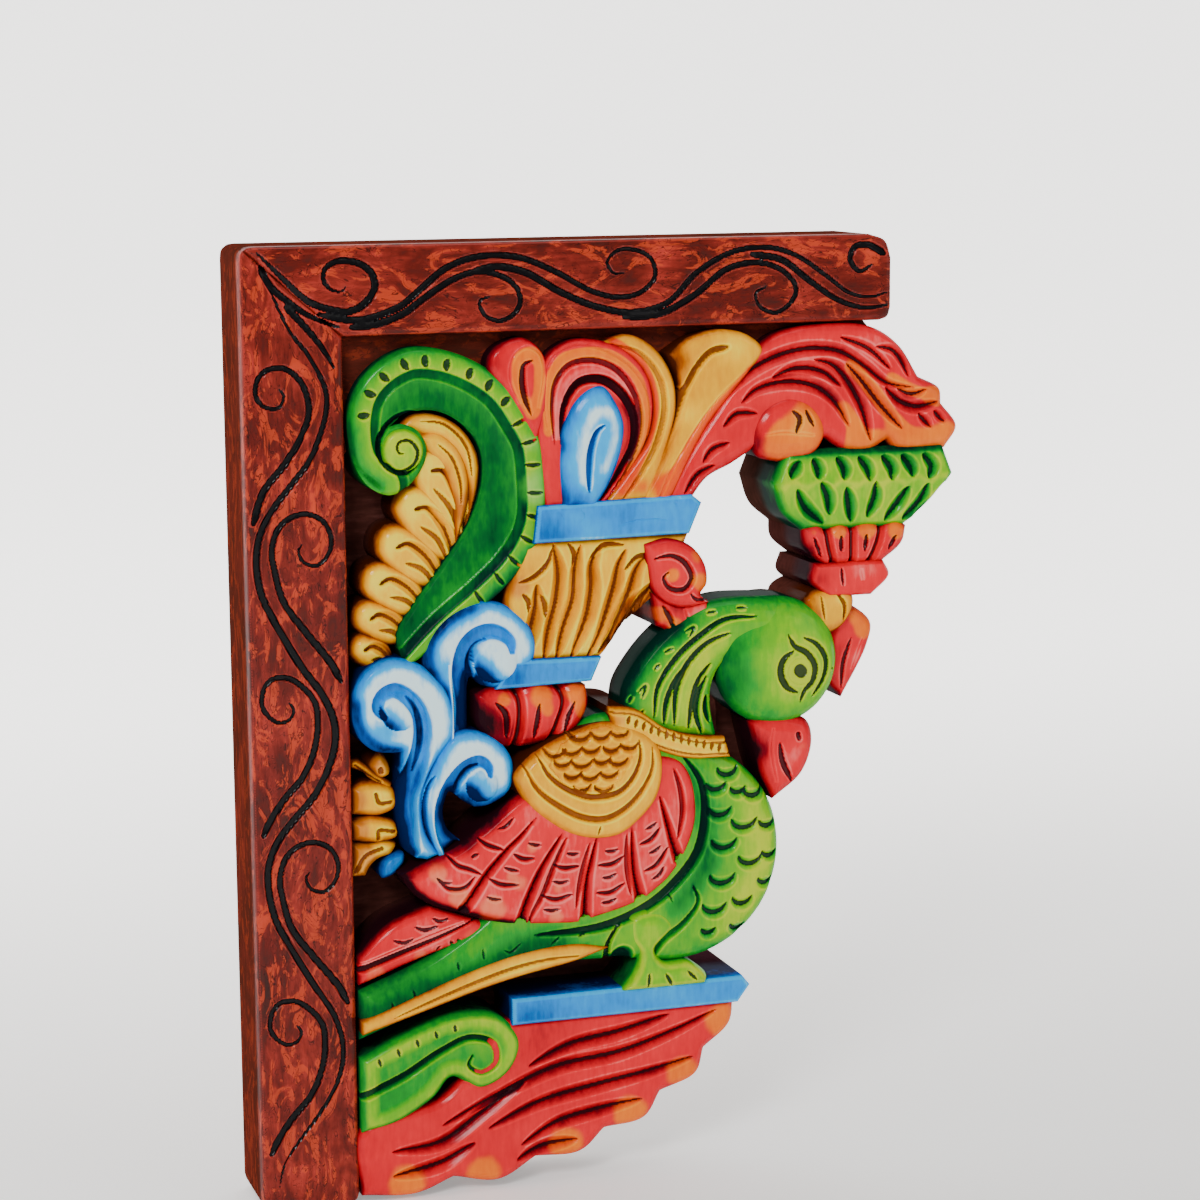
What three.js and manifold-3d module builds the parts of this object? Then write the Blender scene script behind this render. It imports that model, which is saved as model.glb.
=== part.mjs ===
// Parrot wall bracket: an L-shaped stained frame with one thick carved and painted panel in its corner.
// Millimetres, +Z up. The origin is on the face that lies against the wall, at mid height and mid depth.
// The bracket stands out along +X, and its carved side faces -Y.

import * as THREE from 'three';
import { mergeVertices } from 'three/addons/utils/BufferGeometryUtils.js';
import Module from 'manifold-3d';

const wasm = await Module();
wasm.setup();

// Driving dimensions
const HEIGHT = 440;
const BEAM_LENGTH = 308;
const POST_WIDTH = 45;
const BEAM_WIDTH = 40;
const DEPTH = 44;
const FRAME_EDGE = 2.5;
const JOINT_GAP = 0.3;
const WEB_THICKNESS = 18;

const BACK = DEPTH / 2;
const TOP = HEIGHT / 2;

// Outlines are drawn as a carver marks the board: [out from the wall, down from the top of the beam].
// A third value of 1 makes the point a sharp corner; every other point lies on a smooth curve.
function smoothRun(points, steps, closed) {
  const knots = points.map(([out, down]) => new THREE.Vector3(out, TOP - down, 0));
  const curve = new THREE.CatmullRomCurve3(knots, closed, 'centripetal');
  const spans = closed ? knots.length : knots.length - 1;
  return curve.getPoints(spans * steps).slice(0, -1).map((p) => new THREE.Vector2(p.x, p.y));
}

function outline(points, steps = 2) {
  const corners = points.flatMap((p, i) => (p[2] ? [i] : []));
  if (corners.length === 0) return smoothRun(points, steps, true);
  const runs = corners.map((start, k) => {
    const end = corners[(k + 1) % corners.length];
    const length = (end - start + points.length) % points.length || points.length;
    const run = Array.from({ length: length + 1 }, (_, i) => points[(start + i) % points.length]);
    return length === 1 ? smoothRun(run, 1, false) : smoothRun(run, steps, false);
  });
  return runs.flat();
}

function disc(out, down, radius, sides = 20) {
  return Array.from({ length: sides }, (_, i) => {
    const turn = (2 * Math.PI * i) / sides;
    return new THREE.Vector2(out + radius * Math.cos(turn), TOP - down + radius * Math.sin(turn));
  });
}

function toSolid(geometry) {
  const bare = geometry.clone();
  bare.deleteAttribute('normal');
  bare.deleteAttribute('uv');
  const welded = mergeVertices(bare, 1e-4);
  return new wasm.Manifold(new wasm.Mesh({
    numProp: 3,
    vertProperties: new Float32Array(welded.attributes.position.array),
    triVerts: new Uint32Array(welded.index.array),
  }));
}

function toGeometry(solid) {
  const mesh = solid.getMesh();
  const geometry = new THREE.BufferGeometry();
  geometry.setAttribute('position', new THREE.BufferAttribute(mesh.vertProperties, 3));
  geometry.setIndex(new THREE.BufferAttribute(mesh.triVerts, 1));
  geometry.computeVertexNormals();
  return geometry;
}

function block(outMin, outMax, downMin, downMax, yMin, yMax) {
  const box = new THREE.BoxGeometry(outMax - outMin, yMax - yMin, downMax - downMin);
  box.translate((outMin + outMax) / 2, (yMin + yMax) / 2, TOP - (downMin + downMax) / 2);
  return toSolid(box);
}

// A flat outline is cut through the board from behind its back face to `proud` mm in front of the frame,
// with a rounded front edge `edge` mm wide and `round` mm deep.
function cut(points2d, proud, edge = 2, round = edge, steps = 2) {
  const spare = round + 2;
  const geometry = new THREE.ExtrudeGeometry(new THREE.Shape(points2d), {
    depth: DEPTH + proud - round + spare,
    bevelEnabled: true,
    bevelThickness: round,
    bevelSize: edge,
    bevelOffset: -edge,
    bevelSegments: steps,
    steps: 1,
  });
  geometry.translate(0, 0, -BACK - spare);
  geometry.rotateX(Math.PI / 2);
  return toSolid(geometry);
}

// A carved stroke: a leaf-shaped cut `width` mm wide at its middle, `depth` mm into a face that is `proud` mm
// in front of the frame. It comes to a point at both ends.
function stroke(points, width, proud, depth = 3) {
  const middle = smoothRun(points, 2, false);
  middle.push(new THREE.Vector2(points.at(-1)[0], TOP - points.at(-1)[1]));
  const sides = middle.slice(1, -1).map((p, i) => {
    const along = middle[i + 2].clone().sub(middle[i]).normalize();
    const half = (width / 2) * Math.sqrt(Math.sin((Math.PI * (i + 1)) / (middle.length - 1)));
    return new THREE.Vector2(-along.y, along.x).multiplyScalar(half);
  });
  const left = sides.map((side, i) => middle[i + 1].clone().add(side));
  const right = sides.map((side, i) => middle[i + 1].clone().sub(side)).reverse();
  const shape = new THREE.Shape([middle[0], ...left, middle.at(-1), ...right]);
  const geometry = new THREE.ExtrudeGeometry(shape, { depth: depth + DEPTH, bevelEnabled: false });
  geometry.translate(0, 0, BACK + proud - depth);
  geometry.rotateX(Math.PI / 2);
  return toSolid(geometry);
}

// Frame: the L is cut once, then parted along the mitre.
function cornerArc(out, down, radius, from) {
  return Array.from({ length: 5 }, (_, i) => {
    const turn = from + (Math.PI / 2) * (i / 4);
    return new THREE.Vector2(out + radius * Math.cos(turn), TOP - down + radius * Math.sin(turn));
  });
}

function frameSolid() {
  const soft = 6;
  const nose = 10;
  const lowerNose = 5;
  const foot = 5;
  const shape = [
    ...cornerArc(soft, soft, soft, Math.PI / 2),
    ...cornerArc(foot, HEIGHT - foot, foot, Math.PI),
    ...cornerArc(POST_WIDTH - foot, HEIGHT - foot, foot, 1.5 * Math.PI),
    new THREE.Vector2(POST_WIDTH, TOP - BEAM_WIDTH),
    ...cornerArc(BEAM_LENGTH - lowerNose, BEAM_WIDTH - lowerNose, lowerNose, 1.5 * Math.PI),
    ...cornerArc(BEAM_LENGTH - nose, nose, nose, 0),
  ];
  const back = block(-9, BEAM_LENGTH + 9, -9, HEIGHT + 9, -2 * DEPTH, BACK);
  const geometry = new THREE.ExtrudeGeometry(new THREE.Shape(shape), {
    depth: DEPTH - 2 * FRAME_EDGE,
    bevelEnabled: true,
    bevelThickness: FRAME_EDGE,
    bevelSize: FRAME_EDGE,
    bevelOffset: -FRAME_EDGE,
    bevelSegments: 2,
    steps: 1,
  });
  geometry.translate(0, 0, -BACK + FRAME_EDGE);
  geometry.rotateX(Math.PI / 2);
  return toSolid(geometry).intersect(back);
}

function mitreWedge(side) {
  const reach = 10;
  const gap = (side * JOINT_GAP) / 2;
  const across = new THREE.Vector2(BEAM_WIDTH, POST_WIDTH).normalize().multiplyScalar(gap);
  const far = (side * HEIGHT * 2);
  const start = [-POST_WIDTH * reach + across.x, -BEAM_WIDTH * reach - across.y];
  const end = [POST_WIDTH * reach + across.x, BEAM_WIDTH * reach - across.y];
  const corners = [start, end, [end[0] + far, end[1] - far], [start[0] + far, start[1] - far]];
  const shape = new THREE.Shape(corners.map(([out, down]) => new THREE.Vector2(out, TOP - down)));
  const geometry = new THREE.ExtrudeGeometry(shape, { depth: 2 * DEPTH, bevelEnabled: false });
  geometry.translate(0, 0, -DEPTH);
  geometry.rotateX(Math.PI / 2);
  return toSolid(geometry);
}

// Plume scroll: the green volute, its rolled end and the row of feather heads along its inner edge.
function plumeScroll() {
  const volute = outline([
    [47, 83], [50, 65], [60, 53], [75, 46], [90, 47], [106, 53], [120, 63], [130, 77], [136, 89],
    [138, 104], [138, 124], [134, 137], [125, 150], [112, 162], [92, 176], [71, 190, 1],
    [68, 175], [76, 162], [90, 144], [103, 125], [109, 106], [108, 92], [101, 82], [92, 77],
    [85, 78, 1], [83, 88], [81, 98], [74, 106], [64, 110], [53, 103],
  ]);
  const feathers = [[86, 100], [78, 117], [67, 135], [57, 150], [53, 166], [52, 179]];
  const headRadius = 7;
  const quill = outline([
    [88, 86, 1], [98, 84], [106, 94], [107, 108], [98, 128], [84, 148], [70, 170], [66, 188, 1],
    [48, 190], [47, 165], [55, 150], [70, 128], [80, 108],
  ]);
  return [
    cut(volute, 1, 3, 3),
    cut(quill, -6, 2),
    ...feathers.map(([out, down]) => cut(disc(out, down, headRadius, 12), -2, 2.5)),
  ];
}

// Wave: three blue scrolls that rise from one stem, and the ribbed yellow husk beside it.
function wave() {
  const upper = outline([
    [80, 188], [83, 176], [91, 167], [103, 162], [113, 162], [124, 166], [132, 175], [133, 187],
    [128, 197], [118, 202], [108, 201], [101, 197], [102, 210], [99, 224], [90, 232], [84, 215],
  ]);
  const left = outline([
    [46, 206], [49, 196], [58, 189], [70, 187], [82, 190], [92, 198], [98, 210], [97, 224],
    [91, 244], [91, 260], [97, 272, 1], [84, 280, 1], [72, 277], [67, 258], [68, 240], [71, 227],
    [62, 229], [53, 225], [47, 216],
  ]);
  const lower = outline([
    [84, 235], [91, 225], [101, 221], [111, 224], [119, 232], [122, 242], [118, 252], [109, 257],
    [99, 255], [93, 252], [88, 262, 1], [81, 250],
  ]);
  const husk = outline([[46, 230, 1], [60, 229], [68, 244], [67, 262], [68, 285, 1], [46, 284, 1]]);
  return [cut(upper, 3, 3), cut(left, 3, 3), cut(lower, 4, 3), cut(husk, -3, 2)];
}

// Crest: drop, arch with the blue bud, three plain leaves and the acanthus leaf over the pendant.
function crest() {
  const drop = outline([[128, 43], [114, 48], [111, 56], [119, 68], [133, 90, 1], [139, 74], [138, 52]]);
  const arch = outline([
    [137, 121, 1], [134, 96], [134, 69], [139, 52], [150, 45], [163, 45], [177, 50], [187, 61],
    [190, 75], [187, 91], [177, 107], [166, 121, 1],
  ]);
  const bud = outline([
    [145, 121, 1], [144, 98], [146, 84], [151, 73], [158, 67], [165, 67], [171, 74], [174, 84],
    [173, 94], [168, 108], [160, 121, 1],
  ]);
  const leaf = outline([
    [166, 46, 1], [178, 43], [190, 49], [199, 62], [201, 76], [197, 94], [187, 121, 1], [164, 121, 1],
    [182, 95],
  ]);
  const blade = outline([
    [196, 51, 1], [208, 45], [223, 42], [236, 45], [242, 52], [235, 62], [214, 87], [196, 121, 1],
    [184, 121, 1], [196, 95], [203, 70],
  ]);
  const acanthus = outline([
    [196, 121, 1], [214, 86], [236, 54], [250, 44], [276, 41], [298, 43], [312, 52], [322, 66, 1],
    [333, 74], [333, 80, 1], [342, 91], [335, 101, 1], [311, 101], [306, 97, 1], [296, 101], [284, 100],
    [274, 95, 1], [250, 97], [238, 98, 1], [228, 104], [216, 110], [207, 121, 1],
  ]);
  const ball = outline([[237, 92], [242, 79], [256, 73], [270, 80], [274, 93], [266, 102], [250, 103]]);
  return [
    cut(drop, 2, 2), cut(arch, 1, 2), cut(bud, 3, 3), cut(leaf, 1, 2), cut(blade, 3, 2),
    cut(acanthus, 2, 2), cut(ball, 4, 3),
  ];
}

// Capital: the bar over it, the fluted bell with its volute, the bar under it and the lotus.
function capital() {
  const bar = outline([[133, 119, 1], [207, 117, 1], [212, 121, 1], [206, 135, 1], [131, 136, 1]]);
  const bell = outline([
    [126, 135, 1], [207, 135, 1], [200, 150], [190, 163], [177, 176], [163, 191, 1], [128, 191, 1],
    [118, 166],
  ]);
  const volute = outline([
    [187, 140], [197, 138], [208, 144], [214, 154], [215, 166, 1], [217, 178, 1], [204, 183, 1],
    [191, 178, 1], [188, 160],
  ]);
  const sill = outline([[118, 189, 1], [162, 190, 1], [158, 201, 1], [112, 202, 1]]);
  const lotus = outline([
    [103, 202, 1], [155, 200, 1], [158, 212], [153, 222], [138, 228], [118, 229], [105, 218],
  ]);
  return [
    cut(bar, 4, 1.5), cut(bell, 0, 3), cut(volute, 4, 3), cut(sill, 4, 1.5), cut(lotus, 2, 3),
  ];
}

// Parrot: body with the tail, neck and head, beak, collar, shoulder cap, wing, tail feathers and leg.
function parrot() {
  const body = outline([
    [163, 217], [192, 226], [224, 240], [240, 254], [248, 268], [251, 285], [249, 300], [243, 314],
    [231, 327], [216, 335], [198, 338], [174, 335], [144, 334], [110, 340], [72, 352], [46, 361, 1],
    [46, 340, 1], [84, 322], [112, 300], [118, 270], [126, 245], [144, 227],
  ]);
  const neck = outline([
    [165, 218, 1], [170, 204], [178, 195], [189, 183], [202, 173], [219, 168], [250, 167, 1],
    [262, 188], [240, 205, 1], [219, 205], [219, 232, 1], [192, 228],
  ]);
  const beak = outline([[236, 225, 1], [252, 224], [265, 228], [267, 238], [262, 252], [247, 263], [241, 250]]);
  const collar = outline([[163, 216, 1], [170, 211, 1], [196, 224], [224, 231, 1], [225, 242, 1], [195, 238]]);
  const shoulder = outline([
    [120, 244], [140, 227], [164, 221], [184, 228], [193, 241], [184, 260], [161, 275], [142, 268],
    [126, 256],
  ]);
  const wing = outline([
    [68, 287, 1], [78, 300], [99, 308], [130, 316], [156, 316], [182, 309], [202, 293], [212, 272],
    [209, 257], [200, 243], [188, 236], [150, 240], [122, 252], [98, 272],
  ]);
  const tailFeather = outline([[47, 320, 1], [60, 309], [80, 301, 1], [118, 315, 1], [85, 323], [47, 333, 1]]);
  const leg = outline([
    [166, 318, 1], [214, 318, 1], [206, 336], [214, 349, 1], [166, 349, 1], [175, 336],
  ]);
  return [
    cut(body, 6, 8, 6, 3), cut(neck, 4, 6, 5, 3), cut(disc(250, 198, 30, 28), 9, 12, 9, 4),
    cut(beak, 5, 4, 4), cut(collar, 9, 2), cut(shoulder, 12, 5, 4), cut(wing, 8, 4, 3),
    cut(tailFeather, 3, 2), cut(leg, 6, 3),
  ];
}

// Pendant: a bowl, a fluted tier, a small bar and a bead that comes down on the head, with a flame beside it.
function pendant() {
  const bowl = outline([
    [254, 99, 1], [334, 99, 1], [339, 113, 1], [328, 127], [314, 137, 1], [263, 137, 1], [253, 128],
    [248, 114, 1],
  ]);
  const tier = outline([[264, 135, 1], [314, 135, 1], [314, 143], [302, 154, 1], [274, 154, 1], [264, 144]]);
  const bar = outline([[269, 153, 1], [304, 153, 1], [307, 160], [298, 169, 1], [276, 169, 1], [267, 161]]);
  const bead = outline([[264, 168], [276, 164], [288, 167], [289, 176], [282, 189], [270, 186], [264, 178]]);
  const flame = outline([[283, 172, 1], [293, 176], [301, 184], [299, 195], [286, 219, 1], [276, 205]]);
  return [cut(bowl, 4, 3), cut(tier, 2, 3), cut(bar, 2, 2), cut(bead, 2, 4), cut(flame, -4, 3)];
}

// Foot: the perch that the parrot stands on and the leaf that runs back to the foot of the post.
function perch() {
  const rail = outline([[120, 348, 1], [232, 348, 1], [236, 353, 1], [230, 361, 1], [120, 361, 1]]);
  const leaf = outline([
    [229, 359, 1], [227, 372], [214, 383, 1], [210, 395], [192, 402, 1], [184, 414], [164, 417, 1],
    [152, 427], [130, 427, 1], [112, 436], [90, 432, 1], [72, 438], [46, 436, 1], [46, 404],
    [86, 392], [120, 359, 1],
  ]);
  const scroll = outline([
    [46, 372, 1], [66, 362], [92, 354], [112, 357], [121, 370], [115, 384], [99, 389], [88, 381],
    [80, 392], [62, 402], [46, 404, 1],
  ]);
  return [cut(rail, 4, 1.5), cut(leaf, 1, 2), cut(scroll, 2, 3)];
}

function web() {
  const field = outline([
    [40, 36, 1], [298, 36, 1], [316, 60, 1], [332, 94, 1], [262, 100, 1], [242, 96, 1], [214, 108, 1],
    [204, 120, 1], [202, 134, 1], [184, 160, 1], [158, 189, 1], [153, 204, 1], [150, 224, 1],
    [168, 226, 1], [228, 250, 1], [242, 280, 1], [236, 312, 1], [210, 330, 1], [206, 350, 1],
    [220, 362, 1], [180, 402, 1], [110, 428, 1], [40, 434, 1],
  ]);
  return cut(field, WEB_THICKNESS - DEPTH, 1, 1, 1);
}

// Strokes that divide the leaves, flutes, scrolls and feathers: [points, width, proud, depth].
function leafStrokes() {
  return [
    [[[135, 84], [146, 62], [163, 54], [178, 64], [181, 82], [170, 106]], 3, 1, 3],
    [[[165, 84], [160, 92], [157, 114]], 3, 3, 3],
    [[[132, 54], [130, 66], [132, 82]], 3, 2, 3],
    [[[180, 52], [190, 66], [189, 84], [180, 112]], 3, 1, 3],
    [[[226, 50], [212, 64], [198, 92]], 4, 3, 3],
    [[[204, 112], [232, 74], [266, 54], [298, 68], [316, 72]], 4, 2, 4],
    [[[222, 92], [248, 68], [272, 64], [288, 78], [291, 96]], 4, 2, 4],
    [[[258, 58], [290, 66], [304, 80], [308, 94]], 4, 2, 4],
    [[[284, 52], [300, 58], [312, 64]], 4, 2, 3],
    [[[310, 82], [320, 86], [328, 94]], 3, 2, 3],
    [[[263, 78], [266, 86], [264, 96]], 3, 4, 3],
  ];
}

function fluteStrokes() {
  const bell = [[138, 128], [152, 141], [166, 154], [180, 166], [193, 177]].map(([top, foot], i) => (
    [[[top, 140], [foot - 2 + i, 160], [foot + 2 - 3 * i, 186 - 5 * i]], 3, 0, 3]
  ));
  const tier = [276, 289, 302].map((out) => [[[out, 138], [out + (290 - out) / 3, 152]], 3, 2, 3]);
  const petals = [120, 138].map((out) => [[[out, 203], [out + 2, 226]], 3, 2, 3]);
  const bowl = [262, 274, 286, 298, 310, 322].map((out) => (
    [[[out, 104], [out + 3, 118], [out + (294 - out) / 5, 133]], 4, 4, 4]
  ));
  return [...bell, ...tier, ...petals, ...bowl];
}

function scrollStrokes() {
  const eye = (out, down, turn) => [
    Array.from({ length: 6 }, (_, i) => {
      const angle = turn + i * 0.9;
      const radius = 9 - i * 0.9;
      return [out + radius * Math.cos(angle), down + radius * Math.sin(angle)];
    }), 4, 3, 4,
  ];
  return [
    eye(112, 188, 2.2), eye(67, 211, 3.6), eye(106, 243, 3.9), eye(71, 92, 0.2),
    [[[128, 116], [122, 132], [104, 155], [84, 172]], 5, 1, 3],
    [[[126, 104], [121, 80], [104, 62], [80, 58], [62, 66], [58, 80]], 5, 1, 3],
    [[[88, 210], [84, 232], [76, 256]], 3, 3, 3],
  ];
}

function featherStrokes() {
  const quills = Array.from({ length: 7 }, (_, i) => {
    const angle = 0.55 + i * 0.36;
    const near = [158 + 42 * Math.cos(angle), 246 + 34 * Math.sin(angle)];
    const far = [150 + (58 + 3 * i) * Math.cos(angle + 0.12), 250 + 56 * Math.sin(angle + 0.12)];
    return [[near, far], 3, 8, 3];
  });
  const cap = [
    [[[126, 244], [140, 260], [160, 268], [180, 258], [188, 242]], 3, 12, 3],
    [[[133, 240], [145, 254], [160, 259], [175, 251], [182, 238]], 3, 12, 3],
  ];
  const nape = [[[214, 184], [192, 198], [184, 216]], [[222, 190], [204, 202], [200, 222]]];
  const lid = [[[253, 186], [265, 196], [266, 206], [259, 215]], [[250, 208], [250, 196], [260, 191]]];
  return [
    ...quills, ...cap, ...nape.map((line) => [line, 3, 4, 3]), ...lid.map((line) => [line, 2.5, 9, 3]),
    [[[251, 234], [254, 246], [259, 254]], 3, 5, 3],
  ];
}

function panelSolid() {
  const carving = [
    web(), ...plumeScroll(), ...wave(), ...crest(), ...capital(), ...parrot(), ...pendant(), ...perch(),
  ];
  const joined = carving.reduce((sum, piece) => sum.add(piece));
  const strokes = [...leafStrokes(), ...fluteStrokes(), ...scrollStrokes(), ...featherStrokes()];
  const worked = strokes.reduce((wood, values) => wood.subtract(stroke(...values)), joined);
  const clear = block(POST_WIDTH + JOINT_GAP, 400, BEAM_WIDTH + JOINT_GAP, HEIGHT, -DEPTH, BACK);
  return worked.intersect(clear);
}

function named(name, solid, colour, roughness) {
  const material = new THREE.MeshStandardMaterial({ color: colour, roughness, metalness: 0 });
  const mesh = new THREE.Mesh(toGeometry(solid), material);
  mesh.name = name;
  return mesh;
}

const frame = frameSolid();
const bracket = new THREE.Group();
bracket.add(named('frame_post', frame.intersect(mitreWedge(-1)), 0x8c3426, 0.4));
bracket.add(named('frame_beam', frame.intersect(mitreWedge(1)), 0x93392a, 0.4));
bracket.add(named('carved_panel', panelSolid(), 0x2f9a2c, 0.3));

export default bracket;
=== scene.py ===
"""Parrot wall bracket: a stained frame round a carved and painted panel of scrolls, leaves and a parrot."""

import math

import bpy
import numpy as np
from bpy.props import FloatProperty, FloatVectorProperty, PointerProperty
from mathutils import Matrix, Vector
from mathutils.geometry import delaunay_2d_cdt
from mathutils.kdtree import KDTree


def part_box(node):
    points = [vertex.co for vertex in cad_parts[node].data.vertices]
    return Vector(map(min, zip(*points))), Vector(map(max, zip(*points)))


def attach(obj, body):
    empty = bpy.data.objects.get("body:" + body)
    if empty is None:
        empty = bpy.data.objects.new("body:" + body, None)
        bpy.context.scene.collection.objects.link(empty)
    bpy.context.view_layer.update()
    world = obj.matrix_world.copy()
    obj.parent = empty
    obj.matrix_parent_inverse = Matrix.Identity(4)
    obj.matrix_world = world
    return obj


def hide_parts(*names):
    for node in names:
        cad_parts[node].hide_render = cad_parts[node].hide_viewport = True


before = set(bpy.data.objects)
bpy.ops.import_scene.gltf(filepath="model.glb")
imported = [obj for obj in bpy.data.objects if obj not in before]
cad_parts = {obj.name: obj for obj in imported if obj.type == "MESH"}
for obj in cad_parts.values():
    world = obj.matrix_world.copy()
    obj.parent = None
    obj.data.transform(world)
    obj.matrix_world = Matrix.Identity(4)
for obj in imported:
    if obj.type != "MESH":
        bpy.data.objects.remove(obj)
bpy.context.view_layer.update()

bl_info = {
    "name": "Parrot wall bracket",
    "version": (1, 0, 0),
    "blender": (4, 5, 0),
    "location": "View3D > Sidebar > Bracket",
    "description": "Builds a carved and painted wall bracket around its measured frame",
    "category": "Add Mesh",
}

MM = 0.001
POST_LOW, POST_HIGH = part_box("frame_post")
BEAM_LOW, BEAM_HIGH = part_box("frame_beam")
PANEL_LOW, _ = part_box("carved_panel")
TOP = BEAM_HIGH[2] / MM
FRONT = POST_LOW[1] / MM
DEPTH = (POST_HIGH[1] - POST_LOW[1]) / MM
POST_WIDTH = POST_HIGH[0] / MM
HEIGHT = 2 * TOP
BEAM_LENGTH = BEAM_HIGH[0] / MM
BEAM_WIDTH = TOP - BEAM_LOW[2] / MM

# Levels, in millimetres in front of the frame's face.
BACK_LEVEL = -DEPTH
GROUND_LEVEL = -26.0
THROAT_LEVEL = -23
RAIL_LEVEL = -10.5
WAVE_BASE = -34
PLUME_BASE = -30
HEAD_BASE = -24
INLAY_BASE = -20
NECK_BASE = -19
PAINT_WORN, PAINT_GONE = -12.0, -26.0

# Small measures of the carving, in millimetres.
# How far beside each groove its painted highlight lies, and how wide it is.
LIP_HIGHLIGHT_AWAY, LIP_HIGHLIGHT_WIDTH = 0.35, 0.45
GUIDED_ROUND = 1.6
SKIRT_STEP, SKIRT_DEPTH = 1.5, 8
BACK_INSET, BACK_APART = 0.3, 0.15

# How much darker the walls are than the edge above them, at their upper and lower end.
SKIRT_TONE, BASE_TONE = 0.28, 0.75
SHARP_ANGLE = 48

# The camera's place is in millimetres from the frame's upper front corner, its turns in degrees.
CAMERA_PLACE = (-266.2, -1288.4, 58.0)
CAMERA_TURNS = (18.44, -9.29, -0.41)
CAMERA_LENS = 90
LAMP_TARGET = (0.16, 0, 0.0)


def paint_property(name, description, colour):
    return FloatVectorProperty(
        name=name, description=description, subtype="COLOR", size=3, min=0, max=1, default=colour
    )


class BracketSizes(bpy.types.PropertyGroup):
    """Sizes of the carver's work, in millimetres"""

    grain: FloatProperty(
        name="Mesh spacing", description="Distance between the carved points", default=0.62, min=0.3
    )
    vine_width: FloatProperty(
        name="Vine width", description="Width of the frame's carved vine", default=3.7, min=1
    )
    vine_depth: FloatProperty(
        name="Vine depth", description="Depth of the frame's carved vine", default=1.7, min=0.3
    )
    frame_round: FloatProperty(
        name="Frame edge", description="Rounding of the frame's long edges", default=2.0, min=0.2
    )


class BracketPaints(bpy.types.PropertyGroup):
    """Main colour of each paint and stain, as linear red, green and blue"""

    stain: paint_property("Stain", "Red-brown stain of the frame", (0.26, 0.023, 0.015))
    umber: paint_property("Umber", "Dark stain of the sawn edges and the ground", (0.030, 0.009, 0.007))
    green: paint_property("Green", "Main green of the parrot and the plume scroll", (0.004, 0.320, 0.020))
    yellow: paint_property("Yellow", "Main yellow of the feathers and the capital", (0.800, 0.300, 0.0))
    red: paint_property("Red", "Main red of the leaves and the wing", (0.660, 0.004, 0.014))
    blue: paint_property("Blue", "Main blue of the waves and the bars", (0.000, 0.270, 0.800))


# Curves are marked as [out from the wall, down from the top of the beam], in millimetres.
def curve(points, spacing=1.0, closed=False):
    """Points about `spacing` apart along a centripetal spline through the marked points."""
    p = np.array([q[:2] for q in points], float)
    if closed:
        p = np.vstack([p[-1], p, p[0], p[1]])
    else:
        p = np.vstack([2 * p[0] - p[1], p, 2 * p[-1] - p[-2]])
    placed = []
    for a, b, c, d in zip(p[:-3], p[1:-2], p[2:-1], p[3:]):
        before, here, after = (math.sqrt(math.dist(m, n)) for m, n in ((a, b), (b, c), (c, d)))
        leave = c - b + here * ((b - a) / before - (c - a) / (before + here))
        reach = c - b + here * ((d - c) / after - (d - b) / (here + after))
        count = max(1, math.ceil(math.dist(b, c) / spacing))
        t = (np.arange(count) / count)[:, None]
        placed.append(
            (2 * t**3 - 3 * t**2 + 1) * b + (t**3 - 2 * t**2 + t) * leave
            + (3 * t**2 - 2 * t**3) * c + (t**3 - t**2) * reach
        )
    if not closed:
        placed.append(p[-2:-1])
    return np.vstack(placed)


def outline(points, spacing):
    """A closed outline; a third value of 1 marks a sharp corner."""
    corners = [i for i, q in enumerate(points) if len(q) > 2]
    if not corners:
        return curve(points, spacing, True)
    runs = []
    for start, end in zip(corners, corners[1:] + [corners[0] + len(points)]):
        run = [points[i % len(points)] for i in range(start, end + 1)]
        runs.append(curve(run, spacing)[:-1])
    return np.vstack(runs)


def arc(out, down, radius, start, end, count, squash=1.0):
    """Points round a centre, from one angle to another in degrees; 90 points down."""
    turns = np.radians(np.linspace(start, end, count))
    return [(out + radius * math.cos(a), down + squash * radius * math.sin(a)) for a in turns]


def distance(points, line):
    """Distance from each point to a line, and how far along the line that is, from 0 to 1."""
    tree = KDTree(len(line))
    for i, (x, y) in enumerate(line):
        tree.insert((x, y, 0), i)
    tree.balance()
    nearest = np.array([tree.find((x, y, 0))[1] for x, y in points])
    steps = np.diff(line, axis=0)
    lengths = np.maximum(np.hypot(*steps.T), 1e-9)
    gone = np.concatenate([[0], np.cumsum(lengths)])
    best = np.full(len(points), np.inf)
    place = np.zeros(len(points))
    for shift in (-1, 0):
        k = np.clip(nearest + shift, 0, len(steps) - 1)
        t = np.clip(((points - line[k]) * steps[k]).sum(1) / lengths[k] ** 2, 0, 1)
        away = np.hypot(*(points - line[k] - t[:, None] * steps[k]).T)
        nearer = away < best
        best[nearer] = away[nearer]
        place[nearer] = ((gone[k] + t * lengths[k]) / gone[-1])[nearer]
    return best, place


def inside(points, ring):
    """Which points lie within a closed ring."""
    odd = np.zeros(len(points), bool)
    x, y = points.T
    for (ax, ay), (bx, by) in zip(ring, np.roll(ring, -1, axis=0)):
        if ay == by:
            continue
        crosses = (ay > y) != (by > y)
        odd ^= crosses & (x < (bx - ax) * (y - ay) / (by - ay) + ax)
    return odd


def ease(value, low, high):
    """A smooth step from 0 at `low` to 1 at `high`."""
    t = np.clip((value - low) / (high - low), 0, 1)
    return t * t * (3 - 2 * t)


TAPERS = {
    "both": lambda t: np.sqrt(np.sin(np.pi * np.clip(t, 0.0, 1.0))),
    "end": lambda t: np.clip(1 - t, 0, 1) ** 0.3 * ease(t, -0.05, 0.04),
    "start": lambda t: np.sqrt(np.clip(t, 0, 1)) * ease(1 - t, -0.05, 0.04),
    "none": lambda t: np.ones_like(t),
}


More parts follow.
